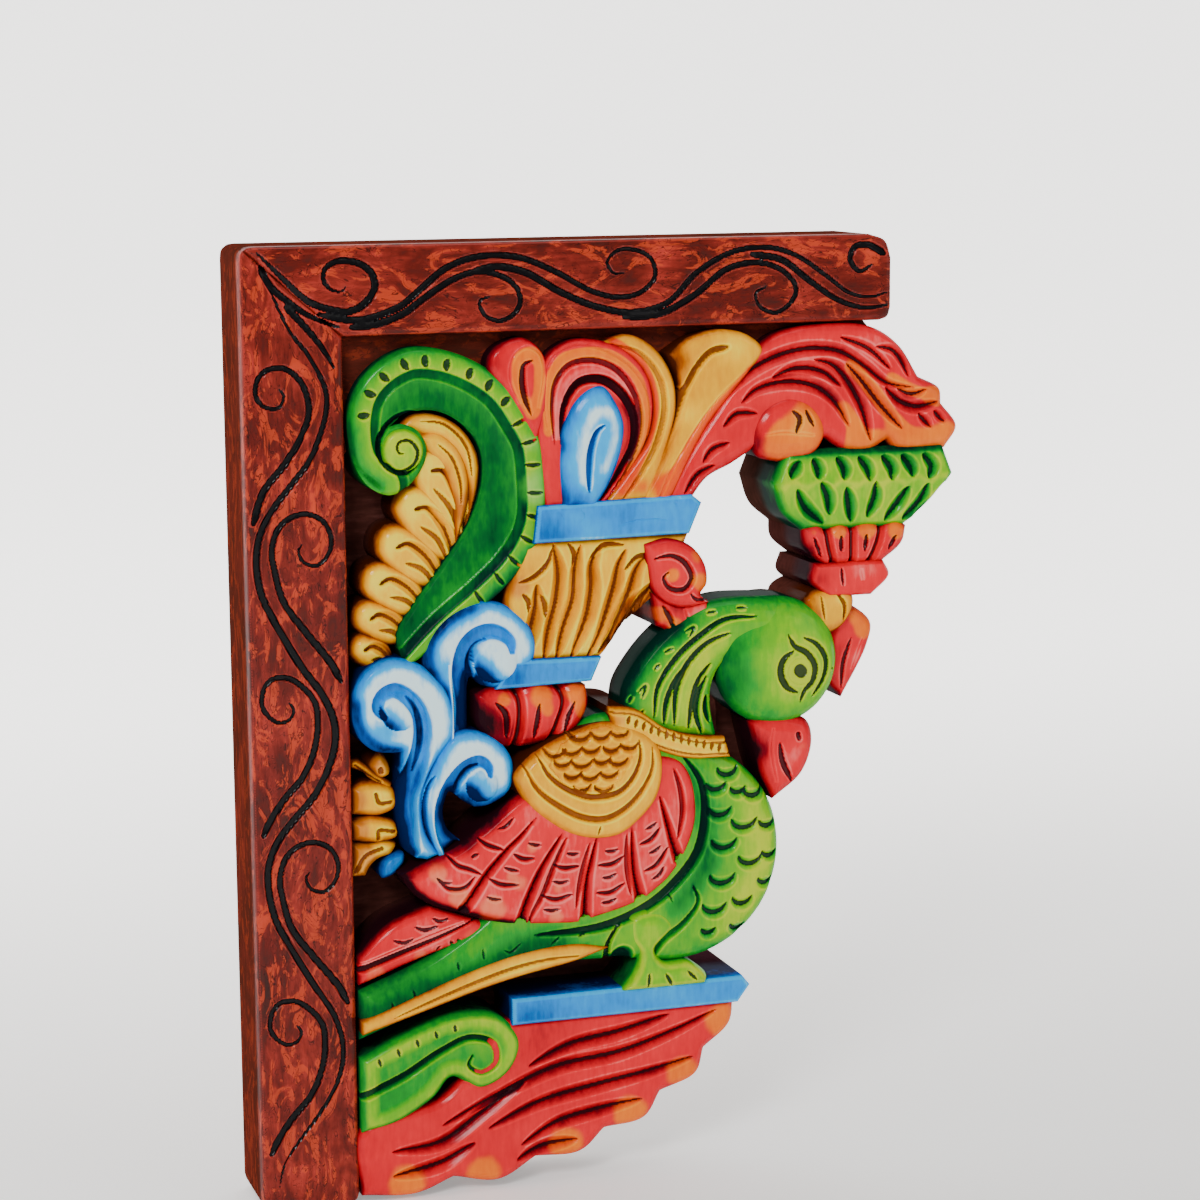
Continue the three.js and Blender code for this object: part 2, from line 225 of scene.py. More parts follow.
class Cut:
    """One gouge stroke: a groove along a spline, dark along its core, partly line paint and partly painted
    shadow, with painted shade in it and a painted highlight beside it.
    """

    def __init__(
        self, points, width, depth, ends="both", dark=1.0, lip=0.25, shade=0.0, flat=0.6, ink=0.15,
        soft=0.34,
    ):
        self.line = curve(points, 0.8)
        self.width, self.depth, self.ends, self.ink = width, depth, ends, ink
        self.dark, self.lip, self.shade, self.flat, self.soft = dark, lip, shade, flat, soft

    def on(self, points):
        reach = 1.5 * self.width
        low, high = self.line.min(0) - reach, self.line.max(0) + reach
        near = np.all((points > low) & (points < high), axis=1)
        drop, dark, tone = (np.zeros(len(points)) for _ in range(3))
        if near.any():
            away, along = distance(points[near], self.line)
            half = self.width / 2 * TAPERS[self.ends](along) + 1e-6
            x = away / half
            groove = np.clip((1 - x**2) * (1 + self.flat), 0, 1)
            size = np.clip(half / (self.width / 2), 0, 1)
            shoulder = self.soft * (1 - np.clip(away / (1.4 * self.width * size), 0, 1)) ** 2
            drop[near] = self.depth * np.maximum(groove, shoulder) * size**0.7
            # The dark core is partly line paint and partly painted shadow; the tone is raised beside the
            # groove for a painted highlight and lowered in it for painted shade.
            dark[near] = self.dark * ease(groove, self.ink, self.ink + 0.6)
            lip = np.exp(-(((away - half - LIP_HIGHLIGHT_AWAY) / LIP_HIGHLIGHT_WIDTH) ** 2)) * (size > 0.25)
            tone[near] = self.lip * lip - self.shade * groove
        return drop, dark, tone


def channels(lines, width, depth, sharp, shade, dark=0.85):
    """Wide shaded hollows with a narrow dark groove along their floor."""
    wide = [Cut(line, width, depth, dark=0, flat=0, lip=0.2, shade=shade, soft=0) for line in lines]
    return wide + [Cut(line, sharp, depth + 1.4, dark=dark, lip=0, soft=0.1, ink=0.3) for line in lines]


def spots(points, marks):
    """Soft round patches, added up: (out, down, radius, amount) each; as shades they are painted shade and
    highlight, as tips the second paint colour.
    """
    total = np.zeros(len(points))
    for out, down, radius, amount in marks:
        away = np.hypot(points[:, 0] - out, points[:, 1] - down)
        total += amount * np.exp(-((away / radius) ** 2))
    return total


def knob(out, down, radius, rise):
    """A warp that swells a round knob, pale at the upper right and deep at the lower left: painted
    highlight and painted shade, as on a ball lit from the upper right.
    """

    def swell(points):
        x = (points[:, 0] - out) / radius
        y = (points[:, 1] - down) / radius
        dome = np.sqrt(np.clip(1.25 * (1 - x**2 - y**2), 0, 1))
        return rise * dome, np.where(dome > 0, -0.75 * ease(y - x, -0.1, 1.25), 0)

    return swell


def trail(points, radius, amount):
    """Patches in a row along a curve, like those of spots(), each a little weaker because they overlap."""
    return [(out, down, radius, amount * 0.6) for out, down in curve(points, radius)]


def keep_attribute(mesh, name, values):
    layer = mesh.attributes.new(name, "FLOAT", "POINT")
    layer.data.foreach_set("value", np.asarray(values, np.float32))


def rim_loops(faces):
    """Corner numbers round each open edge of a flat mesh."""
    edges = {(face[i], face[(i + 1) % 3]) for face in faces.tolist() for i in range(3)}
    onward = {}
    for start, end in edges:
        if (end, start) not in edges:
            onward.setdefault(start, []).append(end)
    loops = []
    while onward:
        here = next(iter(onward))
        around = []
        while here in onward:
            around.append(here)
            ahead = onward[here].pop()
            if not onward[here]:
                del onward[here]
            here = ahead
        loops.append(around)
    return loops


def flat_faces(ring, spacing):
    """Points and triangles that fill a closed ring, and how far each point is from the ring."""
    low, high = ring.min(0), ring.max(0)
    rows = np.arange(low[1], high[1], spacing * 0.866)
    columns = np.arange(low[0], high[0], spacing)
    grid = np.array([(x + (i % 2) * spacing / 2, y) for i, y in enumerate(rows) for x in columns])
    grid = grid[inside(grid, ring)]
    loop = np.vstack([ring, ring[:1]])
    if len(grid):
        grid = grid[distance(grid, loop)[0] > 0.45 * spacing]
    flat = np.vstack([ring, grid]) * (1, -1)
    count = len(ring)
    edges = [(i, (i + 1) % count) for i in range(count)]
    verts, _, faces, *_ = delaunay_2d_cdt([Vector(q) for q in flat], edges, [], 1, 1e-9, False)
    places = np.array([(v.x, -v.y) for v in verts])
    faces = np.array([f for f in faces if len(f) == 3])
    a, b, c = (places[faces[:, k]] for k in range(3))
    area = (b[:, 0] - a[:, 0]) * (c[:, 1] - a[:, 1]) - (b[:, 1] - a[:, 1]) * (c[:, 0] - a[:, 0])
    faces = faces[np.abs(area) > 1e-7]
    area = area[np.abs(area) > 1e-7]
    faces[area > 0] = faces[area > 0][:, ::-1]
    edge_away = distance(places, loop)[0]
    doubtful = np.flatnonzero((edge_away[faces] < 1e-4).all(1))
    outside = ~inside(places[faces[doubtful]].mean(1), ring)
    return places, np.delete(faces, doubtful[outside], axis=0), edge_away


def closed_mesh(name, places, faces, height, skirt, base, tone, tip, line):
    """A mesh of the carved surface, with walls down to `skirt` and `base` and a flat back."""
    loops = rim_loops(faces)
    order = [i for around in loops for i in around]
    below = places[order]
    xs = np.concatenate([places[:, 0], below[:, 0], below[:, 0]])
    downs = np.concatenate([places[:, 1], below[:, 1], below[:, 1]])
    wall = np.minimum(height[order] - SKIRT_STEP, skirt)
    levels = np.concatenate([height, wall, np.full(len(order), base)])
    coordinates = np.stack([xs, FRONT - levels, TOP - downs], axis=1) * MM
    walls, first = [], len(places)
    for around in loops:
        count = len(around)
        for i in range(count):
            j = (i + 1) % count
            upper, lower = first + i, first + len(order) + i
            next_upper, next_lower = first + j, first + len(order) + j
            walls.append((around[j], around[i], upper, next_upper))
            walls.append((next_upper, upper, lower, next_lower))
        walls.append([first + len(order) + i for i in range(count)][::-1])
        first += count
    mesh = bpy.data.meshes.new(name)
    mesh.from_pydata(coordinates.tolist(), [], faces.tolist() + walls)
    keep_attribute(mesh, "tone", np.concatenate([tone, tone[order] - SKIRT_TONE, tone[order] - BASE_TONE]))
    keep_attribute(mesh, "tip", np.concatenate([tip, tip[order], tip[order]]))
    keep_attribute(mesh, "line", np.concatenate([line, line[order], line[order] * 0]))
    mesh.polygons.foreach_set("use_smooth", [True] * len(mesh.polygons))
    mesh.set_sharp_from_angle(angle=math.radians(SHARP_ANGLE))
    mesh.validate()
    return mesh


def carve(
    name, marks, paint, proud, profile, cuts=(), shades=(), tips=(), fall=(0, 0, 0), base=None,
    guide=None, dome=None, slot=None, node="carved_panel", spacing=None, warp=None,
):
    """One carved ornament, as a closed mesh that stands from `base` up to `proud` in front of the frame.

    `profile` gives (distance from the edge, height, tone). `guide` is a line that takes the edge's place.
    `fall` tilts the face by mm towards (right, down) and changes its tone that way by the third value.
    `dome` is (rise, width) of a rounded swelling, and `warp` is a function of the points that adds
    height and tone.
    """
    spacing = spacing or bpy.context.scene.bracket_sizes.grain
    ring = outline(marks, spacing)
    low, high = ring.min(0), ring.max(0)
    places, faces, edge_away = flat_faces(ring, spacing)
    away = edge_away if guide is None else distance(places, curve(guide, 0.8))[0]
    table = np.array(profile, float)
    height = proud + np.interp(away, table[:, 0], table[:, 1])
    tone = np.interp(away, table[:, 0], table[:, 2])
    if guide is not None:
        height -= GUIDED_ROUND * (1 - ease(edge_away, 0, GUIDED_ROUND))
    across = (places - (low + high) / 2) / np.maximum(high - low, 1)
    height += fall[0] * across[:, 0] + fall[1] * across[:, 1]
    tone += fall[2] * (across[:, 0] + across[:, 1])
    if dome:
        height += dome[0] * (np.sqrt(np.clip(1 - (1 - np.clip(edge_away / dome[1], 0, 1)) ** 2, 0, 1)) - 1)
    if warp:
        rise, light = warp(places)
        height += rise
        tone += light
    drop, line = np.zeros(len(places)), np.zeros(len(places))
    for cut in cuts:
        deep, dark, light = cut.on(places)
        drop = np.maximum(drop, deep)
        line = np.maximum(line, dark)
        tone += light
    height -= drop
    # The shades add painted shade and highlight to the tone; the tips mark where the second paint colour
    # lies.
    tone += spots(places, shades)
    tip = np.clip(spots(places, tips), 0, 1)

    # Backs that would lie in one plane are set a little apart.
    if base is None:
        base = BACK_LEVEL + BACK_INSET + BACK_APART * (len(bpy.data.meshes) % 9)
    mesh = closed_mesh(name, places, faces, height, proud - SKIRT_DEPTH, base, tone, tip, line)
    piece = bpy.data.objects.new(name, mesh)
    bpy.context.collection.objects.link(piece)
    mesh.materials.append(PAINTS[paint]())
    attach(piece, "root")
    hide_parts(node)
    return piece


# Shader maths: a socket that adds its own nodes when it is used in an expression.
class Value:
    def __init__(self, tree, socket):
        self.tree, self.socket = tree, socket

    def _math(self, operation, *others):
        return self.tree.node("ShaderNodeMath", {"operation": operation}, self, *others)

    def __add__(self, other):
        return self._math("ADD", other)

    def __sub__(self, other):
        return self._math("SUBTRACT", other)

    def __rsub__(self, other):
        return self.tree.node("ShaderNodeMath", {"operation": "SUBTRACT"}, other, self)

    def __mul__(self, other):
        return self._math("MULTIPLY", other)

    __radd__ = __add__
    __rmul__ = __mul__


class Finish:
    """A material's node tree, built by node() and by expressions on its values."""

    def __init__(self, name):
        self.material = bpy.data.materials.new(name)
        self.material.use_nodes = True
        self.links = self.material.node_tree.links
        self.nodes = self.material.node_tree.nodes
        self.shader = self.nodes["Principled BSDF"]

    def node(self, kind, settings, *values, out=0, **named):
        made = self.nodes.new(kind)
        for key, value in settings.items():
            if key == "stops":
                ramp = made.color_ramp
                while len(ramp.elements) < len(value):
                    ramp.elements.new(0.5)
                for element, (place, colour) in zip(ramp.elements, value):
                    element.position = place
                    element.color = (*colour, 1)
            else:
                setattr(made, key, value)
        sockets = {s.name: s for s in made.inputs if s.enabled}
        for socket, value in zip(made.inputs, values):
            self.join(value, socket)
        for key, value in named.items():
            self.join(value, sockets[key])
        return Value(self, made.outputs[out])

    def join(self, value, socket):
        if isinstance(value, Value):
            self.links.new(value.socket, socket)
        elif value is not None:
            socket.default_value = value

    def place(self, scale=(1, 1, 1)):
        spot = self.node("ShaderNodeTexCoord", {}, out=3)
        return self.node("ShaderNodeMapping", {}, spot, Scale=scale)

    def noise(self, where, scale, detail=3.0, rough=0.55, twist=0.0):
        settings = {"Scale": scale, "Detail": detail, "Roughness": rough, "Distortion": twist}
        return self.node("ShaderNodeTexNoise", {}, Vector=where, **settings)

    def step(self, value, low, high):
        settings = {"interpolation_type": "SMOOTHSTEP"}
        return self.node("ShaderNodeMapRange", settings, value, low, high, 0.0, 1.0)

    def ramp(self, value, stops):
        return self.node("ShaderNodeValToRGB", {"stops": stops}, value)

    def mix(self, factor, first, second):
        made = self.nodes.new("ShaderNodeMix")
        made.data_type = "RGBA"
        for socket, value in zip((made.inputs[0], made.inputs[6], made.inputs[7]), (factor, first, second)):
            self.join((*value, 1) if isinstance(value, tuple) else value, socket)
        return Value(self, made.outputs[2])

    def attribute(self, name):
        return self.node("ShaderNodeAttribute", {"attribute_name": name}, out=2)

    def backward(self):
        """How far a point is behind the origin, in metres."""
        spot = self.node("ShaderNodeTexCoord", {}, out=3)
        return self.node("ShaderNodeSeparateXYZ", {}, spot, out=1)

    def level(self):
        """How far a point is in front of the frame, in millimetres."""
        return self.backward() * (-1 / MM) + FRONT

    def finish(self, colour, rough, height, bump, coat):
        for name, value in (("Base Color", colour), ("Roughness", rough), ("Coat Weight", coat)):
            self.join(value, self.shader.inputs[name])
        raised = self.node("ShaderNodeBump", {}, Strength=bump, Distance=0.4 * MM, Height=height)
        self.join(raised, self.shader.inputs["Normal"])
        self.shader.inputs["Specular IOR Level"].default_value = 0
        self.shader.inputs["Coat Roughness"].default_value = 0.16
        return self.material


def scaled(colour, amount, lift=0.0):
    """A colour made stronger or weaker, then lifted."""
    return tuple(min(1.0, c * amount + lift) for c in colour)


def paint(name, stops, tip_stops, line_and_shadow_colour, umber):
    """Gloss paint over carved wood, shaded partly as the painter shaded it and partly with painted shade
    and highlight, worn through to dark stain on the deep sawn edges.
    """
    made = Finish(name)
    where = made.place()
    streaks = made.noise(made.place((420, 420, 120)), 1.0, 4.0)
    patches = made.noise(where, 55.0, 3.0)
    fleck = made.noise(where, 900.0, 2.0)
    tone = made.attribute("tone") + (streaks - 0.5) * 0.34 + (patches - 0.5) * 0.42
    body = made.ramp(tone, stops)
    second = made.ramp(tone, tip_stops)
    tip = made.step(made.attribute("tip") + (patches - 0.5) * 0.5, 0.3, 0.62)
    colour = made.mix(tip, body, second)
    # Groove cores take the line colour, which stands partly for line paint and partly for painted shadow.
    line = made.step(made.attribute("line") + (streaks - 0.5) * 0.3, 0.35, 0.8)
    colour = made.mix(line * 0.93, colour, line_and_shadow_colour)
    ragged = made.level() + (patches - 0.5) * 9.0 + (streaks - 0.5) * 5.0
    bare = made.step(ragged, PAINT_WORN, PAINT_GONE)
    wood = made.mix(streaks, scaled(umber, 0.9), scaled(umber, 3.2))
    colour = made.mix(bare * 0.8, colour, wood)
    rough = (patches * 0.2 + fleck * 0.1 + bare * 0.35) + 0.22
    height = streaks * 0.7 + fleck * 0.35 + patches * 0.5
    coat = (1 - bare) * (made.step(made.attribute("tone"), 0.2, 0.5) * 0.28 + 0.06)
    return made.finish(colour, rough, height, 0.22, coat)


# Second colours, airbrushed over the first.
ORANGE_TIP = (
    (0.0, (0.22, 0.010, 0.001)), (0.4, (0.80, 0.080, 0.001)), (0.75, (0.98, 0.21, 0.004)),
    (1.0, (1.0, 0.36, 0.03)),
)
PALE_TIP = ((0.0, (0.02, 0.25, 0.60)), (0.5, (0.35, 0.75, 0.95)), (1.0, (0.90, 0.98, 1.0)))
MINT_TIP = ((0.0, (0.01, 0.22, 0.02)), (0.5, (0.08, 0.46, 0.04)), (1.0, (0.40, 0.66, 0.10)))
AMBER_TIP = ((0.0, (0.14, 0.026, 0.002)), (0.5, (0.56, 0.150, 0.004)), (1.0, (0.92, 0.42, 0.06)))
CORAL_TIP = ((0.0, (0.28, 0.008, 0.005)), (0.5, (0.86, 0.070, 0.030)), (1.0, (1.0, 0.26, 0.13)))
FLAME_TIP = ((0.0, (0.24, 0.006, 0.002)), (0.5, (0.84, 0.045, 0.002)), (1.0, (1.0, 0.17, 0.004)))


# The dark, deep, light and pale shades of each paint, and the dark of its grooves, partly line paint and
# partly painted shadow.
GREEN_SHADES = (0.0, 0.020, 0.013), (0.003, 0.115, 0.020), (0.17, 0.50, 0.002), (0.48, 0.62, 0.008)
YELLOW_SHADES = (0.050, 0.008, 0.001), (0.40, 0.080, 0.0), (1.0, 0.50, 0.0), (1.0, 0.72, 0.03)
RED_SHADES = (0.018, 0.003, 0.006), (0.200, 0.003, 0.010), (0.86, 0.016, 0.026), (1.0, 0.18, 0.16)
BLUE_SHADES = (0.0, 0.008, 0.060), (0.0, 0.075, 0.38), (0.010, 0.46, 0.94), (0.72, 0.96, 1.0)
GREEN_LINE_AND_SHADOW = (0.0, 0.015, 0.012)
YELLOW_LINE_AND_SHADOW = (0.210, 0.046, 0.002)
RED_LINE_AND_SHADOW = (0.030, 0.004, 0.008)
BLUE_LINE_AND_SHADOW = (0.0, 0.030, 0.18)


def gloss(colour, shades, tip_stops, line_and_shadow_colour):
    """Paint in one of the panel's main colours, between its deep and its light shade."""
    colours = bpy.context.scene.bracket_paints
    dark, deep, light, pale = shades
    main = tuple(getattr(colours, colour))
    stops = ((0.0, dark), (0.22, deep), (0.48, main), (0.76, light), (1.0, pale))
    return paint(f"{colour} gloss", stops, tip_stops, line_and_shadow_colour, tuple(colours.umber))


def stain_finish(name, along):
    """Mottled red-brown stain with short dark grain ticks, black in the carved vine, under varnish."""
    colours = bpy.context.scene.bracket_paints
    stain, umber = tuple(colours.stain), tuple(colours.umber)
    made = Finish(name)
    long_way = (260, 260, 40) if along == "up" else (40, 260, 260)
    short_way = (900, 900, 160) if along == "up" else (160, 900, 900)
    cloud = made.noise(made.place(), 30.0, 5.0, 0.62)
    grain = made.noise(made.place(long_way), 1.0, 5.0, 0.62)
    ticks = made.noise(made.place(short_way), 1.0, 2.0)
    skew = made.place((80, 80, 34) if along == "up" else (34, 80, 80))
    flame = made.noise(skew, 1.0, 3.0, 0.6, 2.6)
    flakes = made.noise(skew, 2.2, 2.0, 0.5, 2.4)
    body = made.ramp(
        cloud * 0.45 + grain * 0.3 + flame * 0.3,
        (
            (0.38, scaled(umber, 1.5)), (0.48, scaled(stain, 0.45)), (0.57, stain),
            (0.70, scaled(stain, 2.3)),
        ),
    )
    vein = made.node("ShaderNodeMath", {"operation": "ABSOLUTE"}, flakes - 0.5)
    crack = (1 - made.step(vein, 0.004, 0.022)) * made.step(flame, 0.38, 0.50)
    colour = made.mix(made.step(flame, 0.53, 0.58) * 0.6, body, (0.60, 0.060, 0.018))
    colour = made.mix(crack * 0.85, colour, scaled(umber, 0.6))
    colour = made.mix(made.step(ticks, 0.62, 0.72) * 0.45, colour, scaled(umber, 0.8))
    # Painted highlight: paler stain where the tone is high, on the rounded edges and beside the vine's
    # grooves.
    colour = made.mix(made.step(made.attribute("tone"), 0.86, 1.1) * 0.5, colour, scaled(stain, 2.4, 0.01))
    deep = made.step(made.level() + grain * 3.0, -2.0, -9.0)
    colour = made.mix(deep * 0.7, colour, (0.060, 0.018, 0.011))
    line = made.step(made.attribute("line") + (ticks - 0.5) * 0.25, 0.25, 0.55)
    colour = made.mix(line, colour, (0.004, 0.004, 0.005))
    rough = cloud * 0.3 + ticks * 0.15 + 0.18
    return made.finish(colour, rough, grain * 0.8 + ticks * 0.4 - crack * 0.5, 0.3, (1 - deep) * 0.3)


def umber_finish():
    colours = bpy.context.scene.bracket_paints
    umber = tuple(colours.umber)
    made = Finish("umber stain")
    gouge = made.node(
        "ShaderNodeTexVoronoi", {"feature": "SMOOTH_F1"}, Vector=made.place((1, 1, 0.6)), Scale=150.0,
    )
    cloud = made.noise(made.place(), 40.0, 4.0)
    grain = made.noise(made.place((60, 300, 300)), 1.0, 4.0)
    colour = made.ramp(
        cloud * 0.5 + grain * 0.5,
        ((0.3, umber), (0.5, scaled(umber, 2.6)), (0.72, scaled(umber, 6.0, 0.01))),
    )
    return made.finish(colour, cloud * 0.3 + 0.34, gouge * 1.2 + grain * 0.6, 0.5, 0.0)


def once(make, *values):
    """A function that makes its material on the first call and gives the same one after that."""
    kept = []

    def give():
        if not kept:
            kept.append(make(*values))
        return kept[0]

    return give


PAINTS = {
    "green": once(gloss, "green", GREEN_SHADES, MINT_TIP, GREEN_LINE_AND_SHADOW),
    "yellow": once(gloss, "yellow", YELLOW_SHADES, AMBER_TIP, YELLOW_LINE_AND_SHADOW),
    "red": once(gloss, "red", RED_SHADES, ORANGE_TIP, RED_LINE_AND_SHADOW),
    "blue": once(gloss, "blue", BLUE_SHADES, PALE_TIP, BLUE_LINE_AND_SHADOW),
    "leaf": once(gloss, "yellow", YELLOW_SHADES, FLAME_TIP, YELLOW_LINE_AND_SHADOW),
    "wing": once(gloss, "red", RED_SHADES, CORAL_TIP, RED_LINE_AND_SHADOW),
    "stain_up": once(stain_finish, "post stain", "up"),
    "stain_along": once(stain_finish, "beam stain", "along"),
    "umber": once(umber_finish),
}


# Frame
MITRE_VINE = [(9, 9), (14, 18), (21, 24), (28, 29), (36, 33), (44, 36)]
BEAM_VINES = (
    [
        (7, 2), (19, 14), (30, 24), (40, 28), (48, 29), (55, 26), (60, 19), (59, 13), (55, 9), (49, 7),
        (43, 7), (38, 10), (37, 15), (40, 19), (45, 20), (47, 18),
    ],
    MITRE_VINE,
    [
        (35, 30), (44, 32), (53, 33), (62, 31), (72, 27), (81, 20), (91, 12), (100, 8), (110, 6),
        (120, 6), (130, 8), (144, 14), (161, 23), (174, 26), (184, 24), (191, 17), (189, 9), (182, 5),
        (173, 5), (168, 10), (171, 15), (176, 15),
    ],
    [
        (49, 36), (60, 35), (72, 31), (84, 23), (96, 16), (106, 13), (115, 14), (124, 19), (127, 26),
        (124, 32), (117, 35), (110, 32), (108, 26), (113, 24),
    ],
    [
        (106, 12), (118, 11), (130, 14), (146, 23), (163, 30), (180, 33), (197, 29), (211, 16), (228, 7),
        (245, 5), (260, 9), (274, 18), (287, 27), (297, 29), (306, 27),
    ],
    [
        (176, 35), (193, 34), (210, 26), (225, 15), (236, 12), (247, 13), (256, 18), (260, 25), (257, 31),
        (250, 35), (242, 32), (240, 26), (245, 23),
    ],
    [(238, 8), (253, 11), (267, 21), (281, 30), (294, 34), (306, 33)],
    [(304, 9), (296, 5), (289, 6), (287, 12), (292, 17), (298, 14)],
)
POST_SPIRALS = (
    [
        (3, 121), (8, 107), (18, 95), (25, 84), (29, 74), (28, 64), (24, 57), (18, 53), (10, 54), (6, 59),
        (6, 66), (10, 70), (16, 70), (18, 65), (16, 62),
    ],
    [
        (41, 194), (37, 186), (25, 170), (16, 157), (12, 142), (11, 134), (14, 124), (20, 119), (28, 118),
        (35, 122), (38, 130), (36, 137), (31, 141), (25, 139), (23, 134), (25, 131),
    ],
    [
        (4, 262), (7, 256), (14, 246), (23, 236), (28, 225), (30, 214), (29, 203), (24, 196), (17, 191),
        (10, 191), (6, 195), (5, 203), (8, 208), (13, 211), (18, 209), (19, 205), (17, 202),
    ],
)
VINE_REPEAT = 149
POST_VINE = [
    (7, 5), (12, 16), (17, 28), (22, 38), (29, 47), (34, 56), (37, 64), (37, 72), (35, 80), (29, 94),
    (21, 104), (12, 115), (6, 126), (4, 138), (6, 153), (14, 170), (23, 186), (32, 199), (37, 210),
    (38, 220), (35, 232), (28, 245), (18, 256), (10, 266), (6, 277), (6, 289), (9, 302), (17, 318),
    (26, 334), (34, 347), (38, 360), (38, 371), (34, 383), (26, 395), (17, 406), (10, 416), (7, 428),
]


# The tone peaks on the rounded edge, where the stain takes a painted highlight.
def frame_profile(edge):
    return ((0, -edge, 0.5), (edge * 0.3, -edge * 0.4, 1.05), (edge, 0, 0.62), (edge + 2, 0, 0.5))


def vine_cuts(lines, sizes):
    width, depth = sizes.vine_width, sizes.vine_depth
    return [
        Cut(line, width, depth, ends="end" if i else "both", lip=0.6, flat=1.2, soft=0)
        for i, line in enumerate(lines)
    ]


class BRACKET_OT_frame(bpy.types.Operator):
    """Carve the post and the beam, with their running vines"""

    bl_idname = "bracket.frame"
    bl_label = "Frame"

    def execute(self, context):
        sizes = context.scene.bracket_sizes
        edge = sizes.frame_round
        post = [
            (1.6, 1.6, 1), (0.5, 3.2), (0, 6.5, 1), (0, HEIGHT - 6, 1), (1.5, HEIGHT - 2.2),
            (5, HEIGHT - 1, 1), (POST_WIDTH - 5, HEIGHT - 1, 1), (POST_WIDTH - 1.5, HEIGHT - 2.2),
            (POST_WIDTH, HEIGHT - 6, 1), (POST_WIDTH, BEAM_WIDTH + 0.2, 1),
        ]
        beam = [
            (1.9, 1.6, 1), (POST_WIDTH + 0.2, BEAM_WIDTH, 1), (BEAM_LENGTH - 6, BEAM_WIDTH, 1),
            (BEAM_LENGTH - 1.6, BEAM_WIDTH - 1.6), (BEAM_LENGTH, BEAM_WIDTH - 6, 1), (BEAM_LENGTH, 11, 1),
            (BEAM_LENGTH - 3, 3.2), (BEAM_LENGTH - 11, 0, 1), (6.5, 0, 1), (3.3, 0.5),
        ]
        lower = [[(out, down + VINE_REPEAT) for out, down in line] for line in POST_SPIRALS[1:]]
        twig = [(20, 26), (29, 36), (36, 45), (41, 54)]
        post_lines = [POST_VINE, *POST_SPIRALS, *lower, twig, MITRE_VINE]
        common = {"proud": 0.0, "profile": frame_profile(edge), "base": BACK_LEVEL, "spacing": 0.7}
        carve(
            "frame_post_carved", post, "stain_up", cuts=vine_cuts(post_lines, sizes), node="frame_post",
            **common,
        )
        carve(
            "frame_beam_carved", beam, "stain_along", cuts=vine_cuts(BEAM_VINES, sizes), node="frame_beam",
            **common,
        )
        return {"FINISHED"}


# Plume scroll
VOLUTE = [
    (47, 83), (50, 65), (60, 53), (75, 46), (90, 47), (106, 53), (120, 63), (130, 77), (136, 89),
    (138, 104), (138, 124), (134, 137), (125, 150), (112, 162), (92, 176), (71, 190, 1), (68, 175),
    (76, 162), (90, 144), (103, 125), (109, 106), (108, 92), (101, 82), (92, 76), (82, 74), (73, 76),
    (66, 81, 1), (72, 80), (79, 83), (83, 90), (82, 98), (75, 107), (64, 111), (53, 104),
]
VOLUTE_BACK = [
    (60, 107), (50, 97), (47, 83), (50, 65), (60, 53), (75, 46), (90, 47), (106, 53), (120, 63), (130, 77),
    (136, 89), (138, 104), (138, 124), (134, 137), (125, 150), (112, 162), (92, 178), (74, 196),
]
NICKS = 18
NICKED_PART = (0.13, 0.84)
FEATHERS = (
    (86, 101, 10.5, 103, 138), (78, 118, 10.5, 98, 148), (69, 135, 10.2, 93, 158), (61, 151, 9.6, 86, 170),
    (56, 167, 8.4, 77, 181), (53, 181, 7.2, 68, 192),
)


def feather(out, down, radius, tip_out, tip_down):
    """One comma-shaped feather: its outline, from a round head to the tip of its tail, and two strokes."""
    along = np.array([tip_out - out, tip_down - down], float)
    length = np.hypot(*along)
    along /= length
    side = np.array([along[1], -along[0]])
    shape = (
        (-1.0, 0.0), (-0.72, 0.72), (0.0, 1.08), (0.9, 1.22), (1.7, 1.0), (None, 0.0), (1.6, -0.8),
        (0.6, -1.05), (-0.55, -0.85),
    )
    stretch = length / (2.6 * radius)
    marks = []
    for forward, over in shape:
        if forward is None:
            ahead = length
        else:
            ahead = forward * radius * (1 if forward < 0 else stretch)
        spot = np.array([out, down]) + along * ahead + side * over * radius
        marks.append((*spot, 1) if forward is None else tuple(spot))
    hook = (
        (0.05, -0.05), (0.3, 0.4), (0.36 * length / radius, 0.56), (0.62 * length / radius, 0.42),
        (0.9 * length / radius, 0.1),
    )
    second = ((0.75, -0.3), (0.5 * length / radius, 0.02), (0.8 * length / radius, -0.12))

    def stroke(line):
        return [tuple((out, down) + along * ahead * radius + side * over * radius) for ahead, over in line]

    return marks, stroke(hook), stroke(second)


